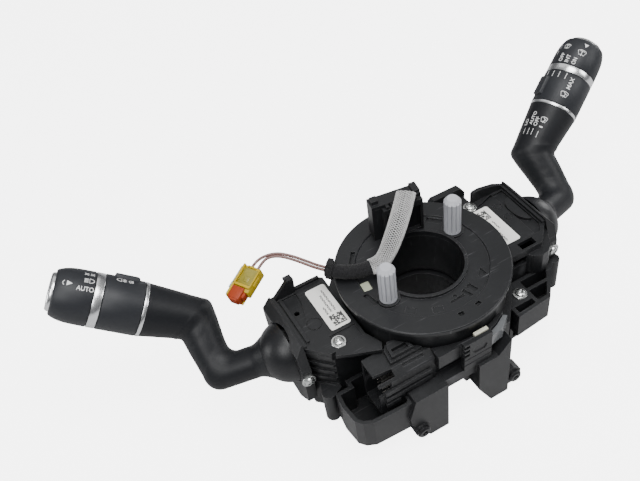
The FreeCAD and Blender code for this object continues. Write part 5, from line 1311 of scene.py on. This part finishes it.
class STALK_OT_plug(bpy.types.Operator):
    """Builds the yellow airbag plug, its orange lock and the pale strip"""
    bl_idname = "stalk.plug"
    bl_label = "Airbag plug"

    def made(self, name, look, slot, blocks, replaced):
        """One piece of the plug from blocks in millimetres, each with its rounding."""
        narrowing = 0.88
        shape = bmesh.new()
        for low, high, bevel in blocks:
            box(shape, [v / 1000 for v in low], [v / 1000 for v in high], bevel / 1000, 2)
        bmesh.ops.scale(shape, vec=(1, narrowing, 1), verts=shape.verts)
        bmesh.ops.transform(shape, matrix=self.place, verts=shape.verts)
        piece = mesh_object(name, shape, finish(look), 35)
        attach(piece, "rotor")
        if replaced:
            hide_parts(replaced)
        CORD_ENDS.setdefault(replaced or "airbag_plug", []).append(piece)

    def execute(self, context):
        end = Vector((-0.0829, 0.0457, 0.0810))
        along = end - Vector((-0.0788, 0.0482, 0.0820))
        self.place = frame_matrix(end, along, UP - along * along.z / along.length_squared)
        self.made("plug_housing", "yellow", "yellow_plastic", [
            ((0, -6.5, -4), (16, 6.5, 2.4), 0.5),
            ((0, -6.5, 2.0), (21, -4.9, 4.0), 0.4),
            ((0.2, 5.6, 2.0), (13.5, 6.5, 3.6), 0.3),
            ((12.2, -6.5, 2.0), (13.8, 6.3, 4.0), 0.4),
            ((0, -3.2, 2.0), (1.2, 3.2, 3.3), 0.3),
            ((15, -6.5, -4), (21.5, -5.6, 3.4), 0.3),
            ((15, -6.5, -4), (21.5, 4.4, -3.2), 0.3),
            ((4.5, 6.3, -2.5), (10.5, 7.0, 1.5), 0.3)], "airbag_plug")
        self.made("plug_window", "amber", "yellow_plastic", [
            ((1.6, -4.6, 1.9), (12.0, 5.4, 2.75), 0.2), ((3.5, -4.7, 2.5), (4.1, -3.9, 3.3), 0.1),
            ((9.6, -4.7, 2.5), (10.2, -3.9, 3.3), 0.1),
            ((6.6, -1.2, 2.6), (10.2, 2.4, 2.95), 0.3)], None)
        self.made("plug_clip", "orange", "orange_plastic", [
            ((14.2, -5.0, -3.2), (21.8, 3.6, 3.7), 0.7),
            ((17.5, -4.0, -2.6), (22.8, 2.6, 3.2), 0.6),
            ((16.0, 2.8, -2.4), (19.5, 5.2, 2.2), 0.6),
            ((14.6, -5.2, 1.0), (16.2, -4.0, 3.9), 0.3)], "plug_lock")
        self.made("plug_band", "blue", "blue_plastic", [
            ((1.8, -7.6, -3.0), (15.2, -6.4, 3.2), 0.3),
            ((12.4, -8.2, -3.4), (16.4, -6.3, 2.8), 0.4)], "plug_strip")
        return {"FINISHED"}


class STALK_OT_finishes(bpy.types.Operator):
    """Gives every carried-over solid its finish"""
    bl_idname = "stalk.finishes"
    bl_label = "Finishes"

    def execute(self, context):
        for name, nodes in NODE_FINISHES.items():
            for label in nodes:
                if label not in NODES:
                    raise RuntimeError("no solid named " + label)
                piece = NODES[label]
                piece.data.materials.clear()
                piece.data.materials.append(finish(name))
        return {"FINISHED"}


PARTS = (
    STALK_OT_stage,
    STALK_OT_plug,
    STALK_OT_wires,
    STALK_OT_sleeve,
    STALK_OT_loom,
    STALK_OT_screws,
    STALK_OT_labels,
    STALK_OT_tab,
    STALK_OT_levers,
    STALK_OT_collars,
    STALK_OT_tips,
    STALK_OT_prints,
    STALK_OT_finishes,
)


class STALK_PT_panel(bpy.types.Panel):
    """Lists the pieces and their settings"""
    bl_idname = "STALK_PT_panel"
    bl_label = "Stalk switch"
    bl_space_type = "VIEW_3D"
    bl_region_type = "UI"
    bl_category = "Stalk switch"

    def draw(self, context):
        for settings in SETTINGS:
            group = getattr(context.scene, settings)
            for name in group.__annotations__:
                self.layout.prop(group, name)
        for part in PARTS:
            self.layout.operator(part.bl_idname)


SETTINGS = {
    "stalk_stage": StageSettings,
    "stalk_plastic": PlasticSettings,
    "stalk_lead": LeadSettings,
}


def register():
    for kind in (*SETTINGS.values(), *PARTS, STALK_PT_panel):
        bpy.utils.register_class(kind)
    for name, kind in SETTINGS.items():
        setattr(bpy.types.Scene, name, bpy.props.PointerProperty(type=kind))


def unregister():
    for name in SETTINGS:
        delattr(bpy.types.Scene, name)
    for kind in (STALK_PT_panel, *reversed(PARTS), *reversed(SETTINGS.values())):
        bpy.utils.unregister_class(kind)


def main():
    register()
    for part in PARTS:
        group, name = part.bl_idname.split(".")
        getattr(getattr(bpy.ops, group), name)()


if __name__ == "__main__":
    main()
